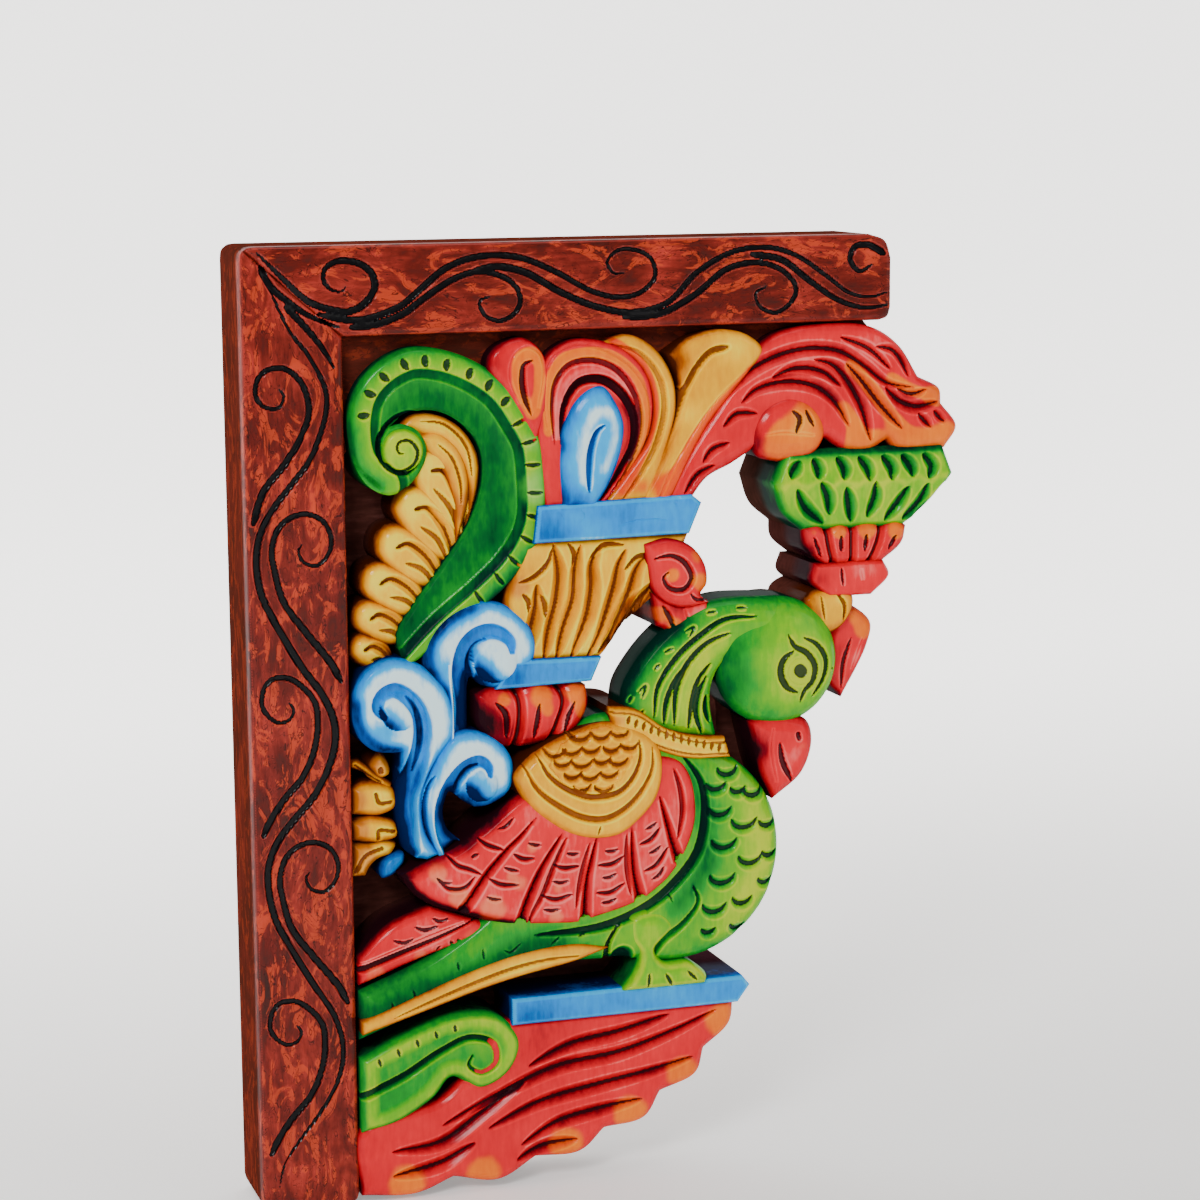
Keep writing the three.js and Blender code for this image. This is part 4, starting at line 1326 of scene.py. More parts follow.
class BRACKET_OT_parrot(bpy.types.Operator):
    """Carve the parrot: body, neck, head, beak, collar, shoulder, wing, tail and leg"""

    bl_idname = "bracket.parrot"
    bl_label = "Parrot"

    def execute(self, context):
        self.body()
        self.head()
        self.wing()
        return {"FINISHED"}

    def body(self):
        body = [
            (163, 217), (192, 226), (224, 240), (240, 254), (248, 268), (251, 285), (249, 300), (243, 314),
            (231, 327), (216, 335), (198, 338), (174, 335), (144, 334), (110, 340), (72, 352), (46, 361, 1),
            (46, 338, 1), (84, 322), (112, 300), (118, 270), (126, 245), (144, 227),
        ]
        under_wing = np.array(
            [
                (74, 289), (96, 302), (126, 310.5), (152, 311), (180, 304), (199, 287), (205, 270),
                (204, 256), (196, 243), (150, 245), (124, 258), (106, 270),
            ],
        )
        scales = (
            (224, 245, 5.5), (218, 252, 5), (237, 256, 5.5), (220, 264, 5.5), (232, 270, 6.5),
            (244, 272, 4.5), (222, 279, 6.5), (235, 288, 6), (245, 287, 4), (221, 296, 6.5),
            (243, 300, 4), (217, 310, 6), (231, 308, 5), (214, 322, 3.5), (229, 321, 4), (229, 255, 4),
        )
        ticks = (
            [(181.5, 312), (179.5, 317)], [(194, 303.5), (196, 308.5)],
            [(113.5, 323.5), (116.5, 325), (122, 321)], [(103.5, 322), (104, 327.5)],
            [(91.5, 327), (92, 331.5)], [(70, 338), (72, 344)], [(136, 323.5), (141, 319.5)],
            [(155, 318.5), (149, 321)], [(60, 343), (61, 348)],
        )
        carve(
            "parrot_body", body, "green", 6.5, SOFT_EDGE,
            cuts=scale_row(scales, 3.0, 1.9)
            + [Cut(tick, 1.4, 1.0, dark=0.8, lip=0.1) for tick in ticks]
            + [
                Cut(
                    [(206, 301), (209, 309), (202, 319), (191, 327), (184, 337)], 5.0, 3.5, "start",
                    dark=0.5, ink=0.5, shade=0.4,
                ),
                # Painted shadow: a black crescent in the deep cut where the leg meets the body.
                Cut(
                    [(172, 315), (166, 322), (164, 329), (167, 339)], 4.2, 4.5, "start", dark=0.95,
                    ink=0.25,
                ),
                Cut([(171.5, 333), (172, 338)], 12, 3.2, "none", dark=0.0, lip=0.3, shade=0.6),
                # Painted shade: a dark groove where the body meets the wing's lower edge.
                Cut(
                    [
                        (201, 238), (210.5, 252), (212.5, 268), (208.5, 286), (196, 301), (183, 310),
                        (162, 317), (128, 318),
                    ],
                    6.0, 3.4, dark=0.75, ink=0.25, lip=0.15, shade=0.3, soft=0.2,
                ),
            ],
            shades=trail([(236, 258), (243, 282), (238, 305), (222, 322)], 11, 0.22)
            + trail([(204, 246), (213, 270), (212, 295), (196, 312)], 6, -0.28)
            + trail([(140, 322), (110, 330), (80, 340), (50, 350)], 9, -0.42)
            + [(186, 318, 9, 0.2), (150, 332, 9, -0.2), (226, 244, 8, 0.15)],
            tips=[(232, 296, 9, 0.35), (178, 322, 7, 0.3)],
            warp=lambda p: (-6.0 * inside(p, under_wing), 0),
        )
        leg = [
            (176, 314), (190, 312), (197, 320), (188, 331), (192, 337), (205, 338), (214, 346),
            (213, 350, 1), (170, 350, 1), (177, 342), (180, 333), (175, 324),
        ]
        carve(
            "parrot_leg", leg, "green", 8,
            ((0, -5, 0.5), (1.2, -2.4, 0.84), (2.2, -1.2, 0.92), (3.6, -0.5, 0.7), (7, 0, 0.76)),
            cuts=[
                Cut([(203, 342), (208, 347)], 1.8, 1.4), Cut([(192, 342), (196, 349)], 1.8, 1.4),
                Cut([(184, 341), (184, 349)], 1.6, 1.2),
            ],
            shades=[(184, 320, 7, 0.12), (206, 344, 6, 0.1)],
        )
        stripe = [
            (164, 327, 1), (148, 324), (122, 326), (98, 332), (70, 342), (46, 351, 1), (46, 357, 1),
            (74, 349), (102, 341), (124, 336), (147, 332),
        ]
        carve(
            "parrot_tail_stripe", stripe, "leaf", 8.0, ((0, -1.6, 0.2), (1.2, -0.4, 0.5), (2.4, 0, 0.66)),
            base=INLAY_BASE,
            cuts=[
                Cut(
                    [(152, 329.5), (134, 330), (118, 332.5), (98, 338), (60, 350.5)], 2.8, 1.8, dark=0.7,
                    ink=0.4,
                ),
            ],
            tips=[(156, 329, 7, 0.4), (60, 352, 9, 0.4)], shades=[(120, 330, 10, 0.15)],
        )
        feathers = [(46, 322, 1), (60, 309), (80, 301, 1), (118, 315, 1), (85, 322), (46, 335, 1)]
        carve(
            "parrot_tail_feathers", feathers, "wing", 3.5, ((0, -3, 0.2), (1.2, -1, 0.45), (3, 0, 0.6)),
            cuts=[
                Cut(
                    [(103, 308), (84, 315.5), (64, 322), (46, 328)], 4.0, 3.4, "start", dark=0.85,
                    ink=0.35, shade=0.3,
                ),
                Cut([(97, 309), (80, 314), (62, 320), (46, 325)], 1.4, 0.9, dark=0.5, lip=0.5),
                Cut([(80.5, 306), (84, 308), (88.5, 307)], 2.0, 1.4),
                Cut([(72, 309.5), (77, 311.5), (83.5, 310)], 2.2, 1.6),
                Cut([(62, 315), (67, 316.5), (72, 315)], 2.0, 1.4),
                Cut([(82.5, 322), (84, 319.5)], 1.8, 1.2), Cut([(89, 317.5), (90.3, 320.3)], 1.8, 1.2),
                Cut([(92.3, 317), (94, 319.5)], 1.8, 1.2),
            ],
            tips=[(54, 331, 6, 0.8), (75, 324, 5, 0.6), (98, 316, 6, 0.5)],
            shades=[(84, 321, 9, 0.25), (74, 308, 7, 0.12)],
        )

    def head(self):
        neck = [
            (173, 220, 1), (174.5, 206), (180.5, 195.5), (191, 183.5), (205, 173), (221, 167),
            (250, 167, 1), (262, 188), (244, 203), (224, 202), (218, 214), (221, 234, 1), (192, 229),
        ]
        strands = (
            [(188, 221), (190, 206), (199, 193), (211, 183), (223, 176), (238, 175)],
            [(198, 225), (199, 209), (204, 197), (214, 187), (226, 182)],
            [(205, 227), (207, 214), (210, 204), (216, 196)],
            [(212, 230), (209, 220), (210, 211), (214, 202)],
            [(216, 225), (214, 218), (214, 211)],
            [(193, 224), (194, 214), (199, 203), (207, 194)],
        )
        leaves = (
            [(180, 208), (184, 205), (182, 211)], [(193, 190), (198, 188)],
            [(203, 181), (208, 179), (205, 184)], [(180, 220), (183, 216)], [(214, 173), (219, 172)],
            [(176, 213), (178, 209)], [(188, 198), (191, 195)], [(228, 171), (233, 171)],
        )
        carve(
            "parrot_neck", neck, "green", 5, SOFT_EDGE, base=NECK_BASE,
            cuts=[Cut(strand, 3.6, 2.8, dark=0.9, lip=0.4, shade=0.2, ink=0.3) for strand in strands]
            + [Cut(leaf, 1.6, 1.0, dark=0.8, lip=0.6) for leaf in leaves]
            + [Cut([(238, 186), (226, 195), (219, 207), (218, 216)], 5, 5, dark=0.9, shade=0.4)],
            shades=trail([(222, 184), (209, 197), (203, 212), (204, 228)], 5.5, 0.26)
            + trail([(172, 214), (180, 196), (192, 184), (204, 178)], 6, -0.36),
            warp=lambda p: (3.8 * np.exp(-((np.hypot(p[:, 0] - 240, p[:, 1] - 176) / 17) ** 2)), 0),
        )
        skull = arc(250, 198, 30.5, 0, 348, 28)
        dome = (
            (0, -11, 0.30), (0.8, -8.2, 0.38), (2.2, -5.6, 0.48), (4.5, -3.4, 0.56), (8, -1.7, 0.62),
            (13, -0.6, 0.66), (20, 0, 0.7), (31, 0.4, 0.72),
        )
        ring = arc(259, 202, 6.3, 0, 330, 14)
        lid = [(252.5, 184), (256, 190), (262, 193.5), (266.5, 200), (265.5, 207), (261, 212), (259, 217)]
        lower = [(256, 192), (250.5, 196), (249, 202), (252, 209), (258, 212.5)]
        brow = [(260, 186), (267.5, 190), (272.5, 198), (271, 207), (265, 215)]
        carve(
            "parrot_head", skull, "green", 10, dome, base=HEAD_BASE,
            cuts=[
                Cut(lid, 3.7, 2.2, lip=0.2), Cut(lower, 4.0, 2.4, lip=0.2), Cut(brow, 3.2, 2.0, lip=0.2),
                Cut(ring, 1.2, 0.5, dark=0.4),
                Cut([(258.6, 201.6), (259.4, 202.4)], 7.2, 1.4, "none", lip=0.3),
                Cut([(276, 202), (277, 203)], 1.5, 1),
            ],
            shades=[
                (264, 194, 20, 0.24), (256, 212, 14, 0.14), (228, 206, 11, -0.34), (236, 180, 12, -0.12),
                (246, 226, 9, -0.2), (259, 202, 5, 0.3), (226, 192, 8, -0.2),
            ],
            tips=[(246, 221, 8, 0.35), (262, 218, 7, 0.3)],
        )
        beak = [
            (236, 226, 1), (244, 223), (254, 223), (265, 227), (268, 237), (263, 252), (248, 264, 1),
            (242, 250),
        ]
        carve(
            "parrot_beak", beak, "wing", 6,
            ((0, -5, 0.2), (1.5, -2.4, 0.42), (4, -0.7, 0.56), (8, 0, 0.64)),
            cuts=[
                Cut([(250, 236), (252, 246), (257, 256)], 3.4, 2.8),
                Cut([(259.5, 233), (260, 235)], 2.6, 1.8, "none"),
                Cut([(247, 228), (246, 240), (249, 256)], 1.1, 0.6, dark=0.35),
            ],
            shades=[(241, 240, 6, -0.4), (259, 243, 6, 0.16)], tips=[(262, 238, 5, 0.35)],
        )
        collar = [
            (165, 213, 1), (178, 215), (193, 225), (209, 230), (222, 231, 1), (225, 241, 1), (203, 240),
            (186, 234), (167, 224, 1),
        ]
        notches = []
        for share in np.linspace(0.04, 0.97, 13):
            out, down = 172 + 48 * share, 218.5 + 17.5 * share + 1.8 * math.sin(share * math.pi)
            notches.append(
                Cut([(out + 0.5, down - 2.1), (out - 0.5, down + 2.1)], 2.3, 1.6, dark=0.95, lip=0.3),
            )
        carve(
            "parrot_collar", collar, "yellow", 9.5,
            ((0, -3.6, 0.15), (1.0, -1.4, 0.36), (2.2, -0.2, 0.56), (4, 0, 0.76)),
            cuts=[
                *notches,
                Cut(
                    [(166, 215.5), (178, 217.6), (193, 227.5), (209, 232.6), (223, 233.6)], 1.5, 1.0,
                    "none", dark=0.7,
                ),
                Cut([(168, 222.4), (186, 231.5), (203, 237.4), (224, 239)], 1.5, 1.0, "none", dark=0.7),
            ],
            tips=[(170, 219, 5, 0.5)], shades=[(210, 235, 12, 0.1)],
        )

    def wing(self):
        wing = [
            (66, 285, 1), (71.5, 293.5), (80.5, 300), (92.5, 304.5, 1), (107.5, 310), (116, 312.5),
            (124.5, 313.5, 1), (137.5, 314.5), (148, 315), (157, 313.5, 1), (173.5, 309.5),
            (184, 305.5, 1), (195, 297), (203.5, 285), (208.5, 271), (208.5, 258), (205.5, 246.5),
            (200, 239.5), (188, 236), (150, 240), (122, 252), (106, 264), (92, 274), (80, 279),
        ]
        rays = (
            [(129, 262), (122, 270), (115, 276.5), (105, 287.5), (99, 296), (93, 303.5)],
            [(142, 270), (136.5, 278.5), (131, 287.5), (126.5, 297), (123, 306), (121, 312.5)],
            [(158.5, 273), (156, 284), (154, 293), (153, 302), (152.5, 314)],
            [(175.5, 270), (176, 283), (177, 293), (180, 306.5)],
            [(189, 256), (192.5, 268), (195.5, 278.5), (199, 289)],
        )
        seams = (
            [(144, 272), (137.5, 286), (132, 299), (126.5, 308), (125, 314)],
            [(155, 276), (151, 291), (148, 307)], [(173, 273), (173.3, 290), (175, 303)],
            [(196, 243.5), (199.5, 254), (200.5, 265), (198, 278.5)],
        )
        barbs = (
            [(101.5, 269.5), (106, 273), (114, 276)], [(87, 276.5), (92, 281.5), (97, 283.5), (103, 286.5)],
            [(82.5, 288), (88, 292), (95, 292), (100, 287)], [(118, 278), (123, 281), (128.5, 281)],
            [(106, 288.5), (112, 292), (121, 293)], [(137.5, 285), (142.5, 287), (150, 286.5)],
            [(131.5, 299), (138.5, 301.5), (146.5, 299.5)], [(158.5, 287), (166, 287), (172, 283.5)],
            [(157.5, 300), (165, 300.5), (172, 296.5)], [(179, 279), (185, 277), (189.5, 271.5)],
            [(181, 292), (187.5, 289.5), (193.5, 281)],
        )
        ticks = (
            [(98, 278), (101.5, 276.5)], [(81.5, 286), (85, 289), (89, 289)],
            [(125, 273.5), (128, 274.7), (131.5, 275)], [(113.5, 284), (117, 285.5), (121, 286.5)],
            [(105, 297), (108.5, 298.7), (112.5, 299)], [(143.5, 280), (146.5, 280.7), (150, 280.5)],
            [(136.5, 292.5), (140.5, 293.7), (145, 293)], [(132, 305.5), (136, 306.5), (140.5, 306)],
            [(162, 280.5), (166, 281), (169, 280)], [(160.5, 293), (164, 293.4), (168, 291.5)],
            [(160, 305), (164, 305), (168, 303.5)], [(182, 272), (185, 271), (187.5, 269)],
            [(183.5, 283.5), (187, 282.5), (190, 280)], [(185, 296), (188.5, 294.5), (191.5, 290)],
            [(110.5, 266), (114.5, 265), (118.5, 261)],
        )
        carve(
            "parrot_wing", wing, "wing", 8.5,
            ((0, -5.0, 0.20), (1.2, -2.6, 0.34), (2.6, -0.8, 0.50), (5, 0, 0.76)),
            cuts=[
                Cut(ray, 6.6, 2.6, "start", dark=0, flat=0, lip=0.25, shade=0.5, soft=0)
                for ray in rays
            ]
            + [Cut(ray, 1.5, 4.4, "start", dark=0.95, lip=0.0, soft=0.1) for ray in rays]
            + [Cut(seam, 3.2, 2.6, dark=0.6, lip=0.2, shade=0.35, flat=0.2) for seam in seams]
            + [Cut(barb, 3.0, 2.2, dark=0.85, lip=0.3, shade=0.3, flat=0.1, ink=0.35) for barb in barbs]
            + [Cut(tick, 2.2, 1.6, dark=0.9, lip=0.3, flat=0.2) for tick in ticks],
            tips=[
                (82, 284, 5, 0.8), (92, 296, 6, 0.8), (108, 303, 7, 0.85), (122, 292, 6, 0.55),
                (127, 276, 4, 0.6), (139, 296, 4, 0.5), (138, 310, 5, 0.6), (163, 309, 5, 0.5),
                (116, 288, 4, 0.4),
            ],
            shades=trail(
                [(67, 286), (73, 294), (82, 300), (95, 304.5), (110, 309.5), (124, 312)], 2.6, -0.5,
            )
            + [
                (110, 262, 8, -0.25), (98, 272, 7, -0.25), (84, 281, 4, -0.1), (204, 262, 4, -0.15),
                (186, 244, 8, -0.2),
            ],
        )
        cap = [
            (119, 242.5), (124, 235.5), (131, 230.5), (144, 224.5), (163, 220), (181, 225), (189, 233),
            (191, 243.5), (188, 257), (180, 266.5), (169.5, 273.5), (157.5, 274.5), (146, 271.5),
            (136, 265.5), (125, 255.5),
        ]
        field = np.array(
            [
                (134, 237), (141, 228), (151, 223), (163, 221), (172, 226), (174.5, 236), (169, 246),
                (161, 251), (152, 251), (141, 246),
            ],
        )
        chance = np.random.default_rng(11)
        marks = [
            (
                133 + 9.0 * i + 4.5 * (j % 2) + chance.uniform(-0.9, 0.9),
                223 + 6.0 * j + chance.uniform(-0.6, 0.6), chance.uniform(4.2, 5.2),
            )
            for j in range(6)
            for i in range(6)
        ]
        marks = [m for m, keep in zip(marks, inside(np.array(marks)[:, :2] + (0, 3.4), field)) if keep]
        first = [
            (129, 232), (134.5, 242), (144, 249.5), (155, 253.7), (167.5, 252.5), (174.5, 246.5),
            (178.5, 237), (178, 228),
        ]
        second = [
            (122.5, 236), (128.5, 247.5), (139, 256.5), (151, 263), (161.5, 264.3), (171.5, 260),
            (179.5, 252), (184.3, 242.5), (184.5, 232),
        ]
        carve(
            "parrot_shoulder", cap, "yellow", 12.5,
            ((0, -6, 0.18), (1.2, -3, 0.42), (3, -1.0, 0.62), (5.5, 0, 0.7), (12, 0.4, 0.66)),
            warp=lambda p: (-1.3 * inside(p, field), -0.08 * inside(p, field)),
            cuts=scale_row(marks, 2.2, 1.8)
            + [
                Cut(first, 3.6, 2.8, dark=0.8, lip=0.4, shade=0.2, ink=0.3),
                Cut(second, 3.8, 2.8, dark=0.7, lip=0.4, shade=0.25, ink=0.3),
                Cut([(159, 267), (158, 272)], 1.2, 0.9),
            ],
            shades=[
                (150, 232, 10, -0.06), (160, 262, 14, 0.1), (184, 250, 8, 0.06), (126, 246, 6, -0.12),
            ],
            tips=[(136, 234, 8, 0.4), (176, 226, 6, 0.3)],
        )


# Pendant
class BRACKET_OT_pendant(bpy.types.Operator):
    """Carve the green bowl, the red tiers, the bead and the flame that hang from the acanthus"""

    bl_idname = "bracket.pendant"
    bl_label = "Pendant"

    def execute(self, context):
        bowl = [
            (254, 99, 1), (334, 99, 1), (339, 113, 1), (328, 127), (314, 137, 1), (263, 137, 1), (253, 128),
            (248, 114, 1),
        ]
        upper = (
            [(261, 104), (258, 108), (256, 112)], [(267, 103), (270, 108), (270, 113)],
            [(279, 103), (283, 108), (283, 114)], [(290, 103), (295, 109), (296, 115)],
            [(302, 103), (307, 109), (307, 115)], [(312, 103), (317, 109), (318, 114)],
            [(323, 103), (328, 109), (326, 115)],
        )
        lower = (
            [(259, 117), (264, 126), (273, 134)], [(271, 114), (275, 121), (276, 130)],
            [(284, 117), (286, 125), (287, 134)], [(299, 115), (299, 123), (295, 132)],
            [(316, 118), (311, 126), (304, 134)], [(326, 117), (322, 126), (313, 134)],
            [(336, 117), (330, 126), (320, 134)],
        )

        def ridge(points):
            """The bowl falls away from its middle, where a paler ridge runs in a zigzag."""
            out, down = points.T
            above = down - 115 - 1.5 * np.sin((out - 273) / 2)
            return -0.10 * np.abs(down - 114.5), 0.16 * np.exp(-((above / 1.5) ** 2))

        carve(
            "pendant_bowl", bowl, "green", 5, ((0, -3.4, 0.3), (1.2, -1.4, 0.5), (3, 0, 0.82)),
            cuts=channels(upper + lower, 7.5, 2.6, 3.4, 0.46),
            shades=trail([(256, 101), (334, 101)], 2.2, -0.45)
            + [(266, 132, 8, -0.3), (318, 106, 9, -0.12)],
            warp=ridge,
        )
        tier = [
            (263, 136, 1), (270, 134), (275, 137, 1), (281, 134), (287, 136, 1), (295, 134),
            (303, 136, 1), (310, 134), (316, 137, 1), (314, 145), (303, 154, 1), (274, 154, 1),
            (264, 145),
        ]
        carve(
            "pendant_tier", tier, "red", 3.5, ((0, -3.6, 0.2), (1.4, -1.4, 0.46), (3.4, 0, 0.62)),
            cuts=[
                petal_gap([(275, 135), (276, 143), (279, 155)], 4.4, 4),
                petal_gap([(288, 135), (288, 143), (288, 155)], 4.4, 4),
                petal_gap([(303, 135), (301, 144), (296, 155)], 4.4, 4),
                Cut([(282, 140), (282, 148)], 2.6, 2.4), Cut([(295, 140), (294, 148)], 2.6, 2.4),
                Cut([(310, 141), (306, 148)], 2.4, 2.2), Cut([(268, 140), (272, 150)], 2, 2),
            ],
            tips=[(281, 138, 4, 0.95), (295, 138, 5, 0.95), (310, 139, 5, 0.95), (268, 138, 3, 0.4)],
            shades=[(266, 146, 5, -0.3)],
        )
        bar = [(269, 153, 1), (304, 153, 1), (307, 160), (298, 169, 1), (276, 169, 1), (267, 161)]
        carve(
            "pendant_bar", bar, "wing", 3.5, ((0, -2.4, 0.3), (1.6, 0, 0.66)),
            cuts=[
                Cut([(282, 155), (283, 164)], 1.6, 1.6),
                Cut([(292, 156), (293, 162)], 0.8, 0.4, dark=0.4),
            ],
            shades=[(272, 160, 5, -0.3), (292, 157, 8, 0.16)], tips=[(296, 158, 8, 0.3)],
        )
        bead = [
            (264, 170), (272, 165), (283, 165), (289, 169), (289, 176), (283, 184), (274, 187),
            (265, 180),
        ]
        carve(
            "pendant_bead", bead, "yellow", 3, ((0, -4, 0.1), (1.5, -1.6, 0.4), (5, 0, 0.66)),
            cuts=[
                Cut([(280, 167), (284, 173), (284, 181)], 2.4, 2.2, dark=0.9),
                Cut([(272, 168), (274, 180)], 1.4, 1),
            ],
            shades=[(268, 174, 5, -0.35), (282, 170, 3, 0.3)], tips=[(270, 178, 5, 0.6)],
        )
        flame = [(283, 172, 1), (293, 176), (301, 184), (299, 195), (286, 219, 1), (276, 205)]
        carve(
            "pendant_flame", flame, "red", -3, ((0, -3.5, 0.2), (1.5, -1.2, 0.5), (4, 0, 0.64)),
            cuts=[
                Cut([(290, 190), (286, 202), (285, 214)], 2.4, 1.8),
                Cut([(296, 190), (290, 206)], 1, 0.5, dark=0.4),
            ],
            tips=[(297, 186, 6, 0.95), (292, 179, 5, 0.6)],
            shades=[(284, 196, 5, -0.2), (293, 200, 4, 0.2)],
        )
        return {"FINISHED"}


# Perch
class BRACKET_OT_perch(bpy.types.Operator):
    """Carve the plainer foot: the perch, the scroll and the leaf that run back to the post"""

    bl_idname = "bracket.perch"
    bl_label = "Perch"

    def execute(self, context):
        rail = [(118, 348, 1), (232, 348, 1), (236, 353, 1), (230, 361, 1), (118, 361, 1)]
        carve("perch_rail", rail, "blue", 4.5, BAR_EDGE, shades=[(128, 356, 9, -0.2)])
        leaf = [
            (229, 359, 1), (227, 372), (214, 383, 1), (210, 395), (192, 402, 1), (184, 414), (164, 417, 1),
            (152, 427), (130, 427, 1), (112, 436), (90, 432, 1), (72, 438), (46, 436, 1), (46, 404),
            (86, 392), (112, 359, 1),
        ]
        grooves = (
            [(220, 364), (200, 372), (172, 380), (140, 384), (112, 394), (84, 406)],
            [(208, 386), (186, 391), (160, 395), (132, 400), (106, 410)],
            [(182, 404), (160, 407), (140, 411), (122, 420)],
            [(150, 420), (132, 422), (120, 427)],
            [(60, 416), (84, 414), (104, 402), (126, 388)],
            [(60, 428), (84, 424), (100, 416)],
            [(196, 364), (172, 370), (146, 374), (126, 382)],
        )
        carve(
            "perch_leaf", leaf, "red", 2, ((0, -3.4, 0.25), (1.2, -1.4, 0.5), (3.4, 0, 0.62)),
            cuts=channels(grooves, 8, 2.2, 2.8, 0.4),
            tips=[
                (222, 370, 9, 0.95), (202, 393, 9, 0.95), (176, 410, 9, 0.95), (144, 422, 9, 0.95),
                (104, 430, 9, 0.9), (66, 432, 10, 0.9),
            ],
            shades=[(130, 370, 12, -0.15), (170, 388, 12, 0.12)],
        )
        scroll = [
            (46, 370, 1), (66, 361), (92, 353), (112, 356), (122, 369), (117, 383), (103, 390), (89, 383),
            (80, 392), (62, 402), (46, 405, 1),
        ]
        winding = [
            (46, 388), (66, 380), (84, 370), (98, 365), (109, 369), (110, 378), (103, 382), (97, 378),
            (99, 373),
        ]
        carve(
            "perch_scroll", scroll, "green", 4,
            ((0, -3.2, 0.35), (1.5, -1, 0.5), (3, 0, 0.86), (6, 0, 0.8), (9, -1, 0.5)),
            cuts=[
                Cut(winding, 4.6, 3.8, "end", dark=0.7, ink=0.35, shade=0.3),
                *[
                    Cut([(x, y), (x + 1, y + 4)], 1.8, 1.1)
                    for x, y in ((54, 370), (63, 366), (72, 362.5), (81, 359.5), (90, 357.5))
                ],
            ],
            shades=[(100, 362, 10, 0.1), (60, 392, 12, -0.1)],
        )
        return {"FINISHED"}


GROUND_EDGE = ((0, -0.8, 0.4), (1, 0, 0.5))


class BRACKET_OT_ground(bpy.types.Operator):
    """Cut the dark ground board behind the carving"""

    bl_idname = "bracket.ground"
    bl_label = "Ground"

    def execute(self, context):
        field = [
            (45.4, 40.4, 1), (298, 40.4, 1), (316, 60, 1), (332, 94, 1), (262, 100, 1), (242, 96, 1),
            (214, 108, 1), (204, 120, 1), (202, 134, 1), (184, 160, 1), (158, 189, 1), (153, 204, 1),
            (150, 224, 1), (168, 226, 1), (228, 250, 1), (242, 280, 1), (236, 312, 1), (210, 330, 1),
            (206, 350, 1), (220, 362, 1), (180, 402, 1), (110, 428, 1), (45.4, 434, 1),
        ]
        carve(
            "ground_board", field, "umber", GROUND_LEVEL, GROUND_EDGE, base=BACK_LEVEL, spacing=1.6,
        )
        rail = [
            (45.3, 40.3, 1), (298, 40.3, 1), (310, 54, 1), (286, 62, 1), (180, 58, 1), (96, 60, 1),
            (62, 66, 1), (54, 84, 1), (45.3, 96, 1),
        ]
        carve(
            "ground_rail", rail, "stain_along", RAIL_LEVEL, ((0, -1.0, 0.4), (1.2, 0, 0.5)),
            base=BACK_LEVEL + 8, spacing=1.2, slot="panel_wood",
        )
        throat = [(228.5, 214, 1), (246, 222, 1), (246, 258, 1), (238, 252, 1), (229.5, 240, 1)]
        carve(
            "ground_throat", throat, "umber", THROAT_LEVEL, GROUND_EDGE, base=BACK_LEVEL + 2, spacing=1.6,
        )
        return {"FINISHED"}


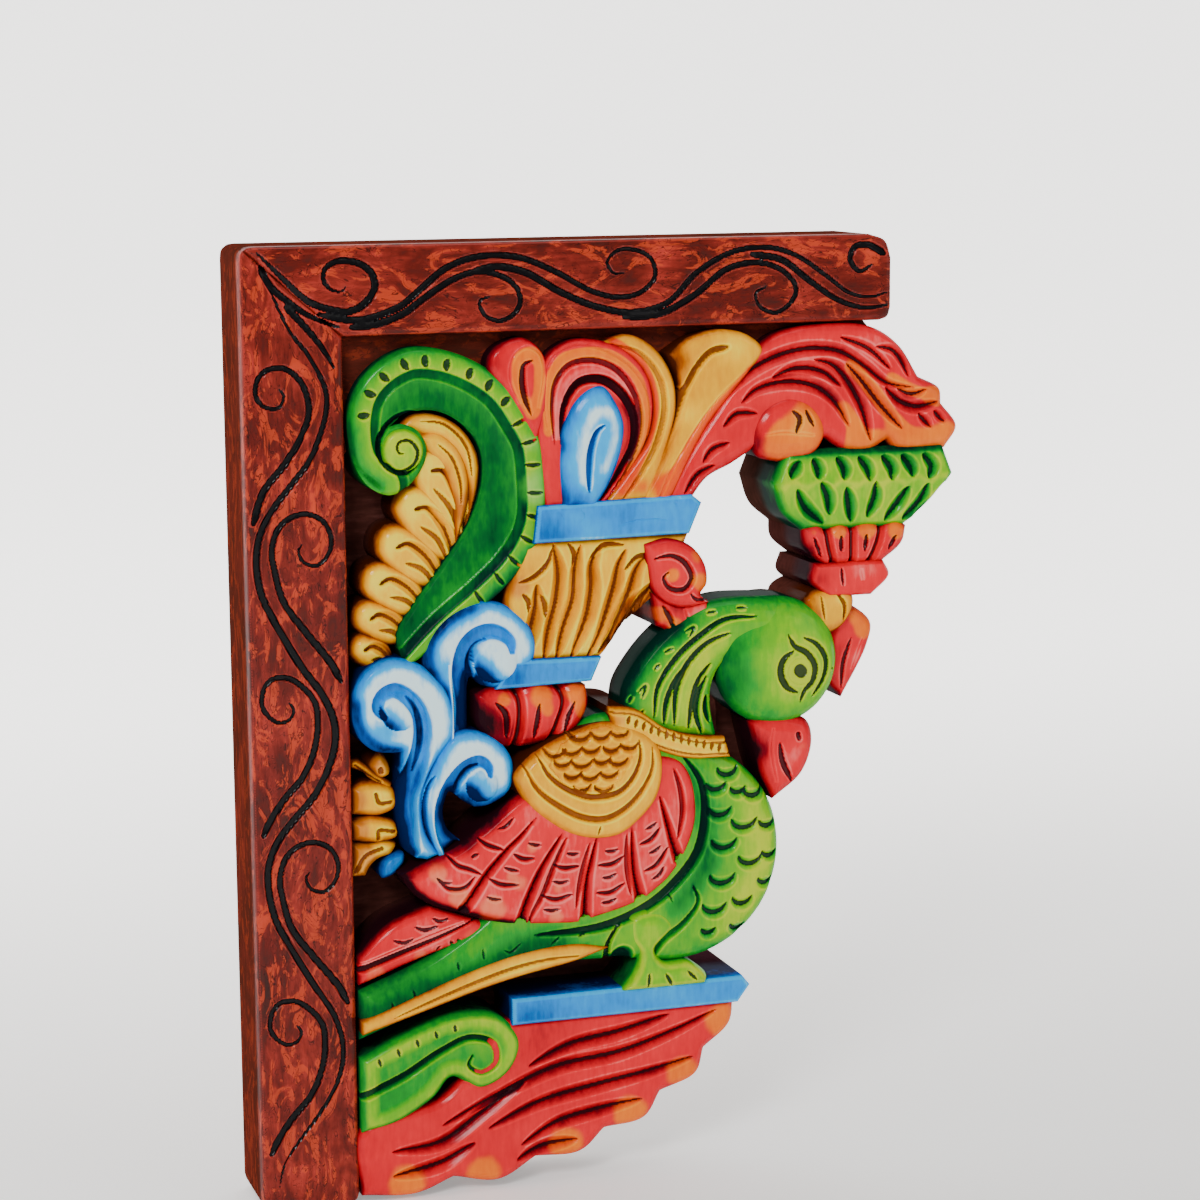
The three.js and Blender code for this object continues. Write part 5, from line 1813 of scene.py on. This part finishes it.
class BRACKET_OT_stage(bpy.types.Operator):
    """Set up the camera, the pale floor and the soft lights"""

    bl_idname = "bracket.stage"
    bl_label = "Stage"

    def execute(self, context):
        scene = context.scene
        lens = bpy.data.cameras.new("camera")
        lens.lens = CAMERA_LENS
        camera = bpy.data.objects.new("camera", lens)
        scene.collection.objects.link(camera)
        yaw, pitch, roll = (math.radians(turn) for turn in CAMERA_TURNS)
        forward = Vector(
            (math.sin(yaw) * math.cos(pitch), math.cos(yaw) * math.cos(pitch), math.sin(pitch)),
        )
        level = Vector((math.cos(yaw), -math.sin(yaw), 0))
        upright = level.cross(forward)
        right = level * math.cos(roll) + upright * math.sin(roll)
        up = upright * math.cos(roll) - level * math.sin(roll)
        across, ahead, above = CAMERA_PLACE
        place = Matrix.Translation(Vector((across, ahead + FRONT, above + TOP)) * MM)
        camera.matrix_world = place @ Matrix((right, up, -forward)).transposed().to_4x4()
        scene.camera = camera

        world = bpy.data.worlds.new("studio")
        scene.world = world
        world.use_nodes = True
        sky = world.node_tree.nodes["Background"]
        sky.inputs["Color"].default_value = (1.0, 0.99, 0.975, 1)
        sky.inputs["Strength"].default_value = 0.3

        floor_level = min(POST_LOW[2], PANEL_LOW[2]) - 0.0005
        sweep = [
            (-6.0, 0.0), (2.0, 0.0), (2.6, 0.04), (3.2, 0.25), (3.8, 0.8), (4.1, 1.6), (4.2, 3.0),
            (4.2, 7.0),
        ]
        verts = [(x, y, floor_level + z) for y, z in sweep for x in (-9.0, 9.0)]
        faces = [(2 * i, 2 * i + 1, 2 * i + 3, 2 * i + 2) for i in range(len(sweep) - 1)]
        mesh = bpy.data.meshes.new("studio_sweep")
        mesh.from_pydata(verts, [], faces)
        mesh.polygons.foreach_set("use_smooth", [True] * len(faces))
        floor = bpy.data.objects.new("studio_sweep", mesh)
        scene.collection.objects.link(floor)
        pale = Finish("pale paper")
        fleck = pale.noise(pale.place(), 3.0)
        pale.finish(pale.mix(fleck, (0.90, 0.885, 0.87), (0.92, 0.905, 0.89)), 0.9, fleck, 0.02, 0.0)
        behind = pale.step(pale.backward(), -0.3, 1.3)
        glow = pale.mix(behind, (0.08, 0.079, 0.077), (1.0, 0.985, 0.965))
        pale.join(glow, pale.shader.inputs["Emission Color"])
        pale.shader.inputs["Emission Strength"].default_value = 2.1
        mesh.materials.append(pale.material)

        for name, place, size, power in (
            ("key", (-1.1, -1.9, 1.6), 0.8, 50),
            ("fill", (1.9, -1.6, 0.6), 1.4, 8),
            ("top", (0.2, -0.3, 2.2), 1.2, 8),
            ("rim", (-0.6, 1.8, 1.3), 1.2, 6),
        ):
            light = bpy.data.lights.new(name, "AREA")
            light.size = size
            light.energy = power
            lamp = bpy.data.objects.new(name, light)
            lamp.location = place
            lamp.rotation_mode = "QUATERNION"
            lamp.rotation_quaternion = (Vector(LAMP_TARGET) - Vector(place)).to_track_quat("-Z", "Y")
            scene.collection.objects.link(lamp)
        return {"FINISHED"}


OPERATORS = (
    BRACKET_OT_stage,
    BRACKET_OT_ground,
    BRACKET_OT_frame,
    BRACKET_OT_plume,
    BRACKET_OT_wave,
    BRACKET_OT_crest,
    BRACKET_OT_capital,
    BRACKET_OT_parrot,
    BRACKET_OT_pendant,
    BRACKET_OT_perch,
)


class BRACKET_PT_panel(bpy.types.Panel):
    """The bracket's pieces, sizes and colours"""

    bl_label = "Parrot wall bracket"
    bl_idname = "BRACKET_PT_panel"
    bl_space_type = "VIEW_3D"
    bl_region_type = "UI"
    bl_category = "Bracket"

    def draw(self, context):
        for group in (context.scene.bracket_sizes, context.scene.bracket_paints):
            for name in group.__annotations__:
                self.layout.prop(group, name)
        for operator in OPERATORS:
            self.layout.operator(operator.bl_idname)


CLASSES = (BracketSizes, BracketPaints, *OPERATORS, BRACKET_PT_panel)


def register():
    for item in CLASSES:
        bpy.utils.register_class(item)
    bpy.types.Scene.bracket_sizes = PointerProperty(type=BracketSizes)
    bpy.types.Scene.bracket_paints = PointerProperty(type=BracketPaints)


def unregister():
    del bpy.types.Scene.bracket_paints
    del bpy.types.Scene.bracket_sizes
    for item in reversed(CLASSES):
        bpy.utils.unregister_class(item)


def main():
    register()
    for operator in OPERATORS:
        group, name = operator.bl_idname.split(".")
        getattr(getattr(bpy.ops, group), name)()
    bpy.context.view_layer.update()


if __name__ == "__main__":
    main()
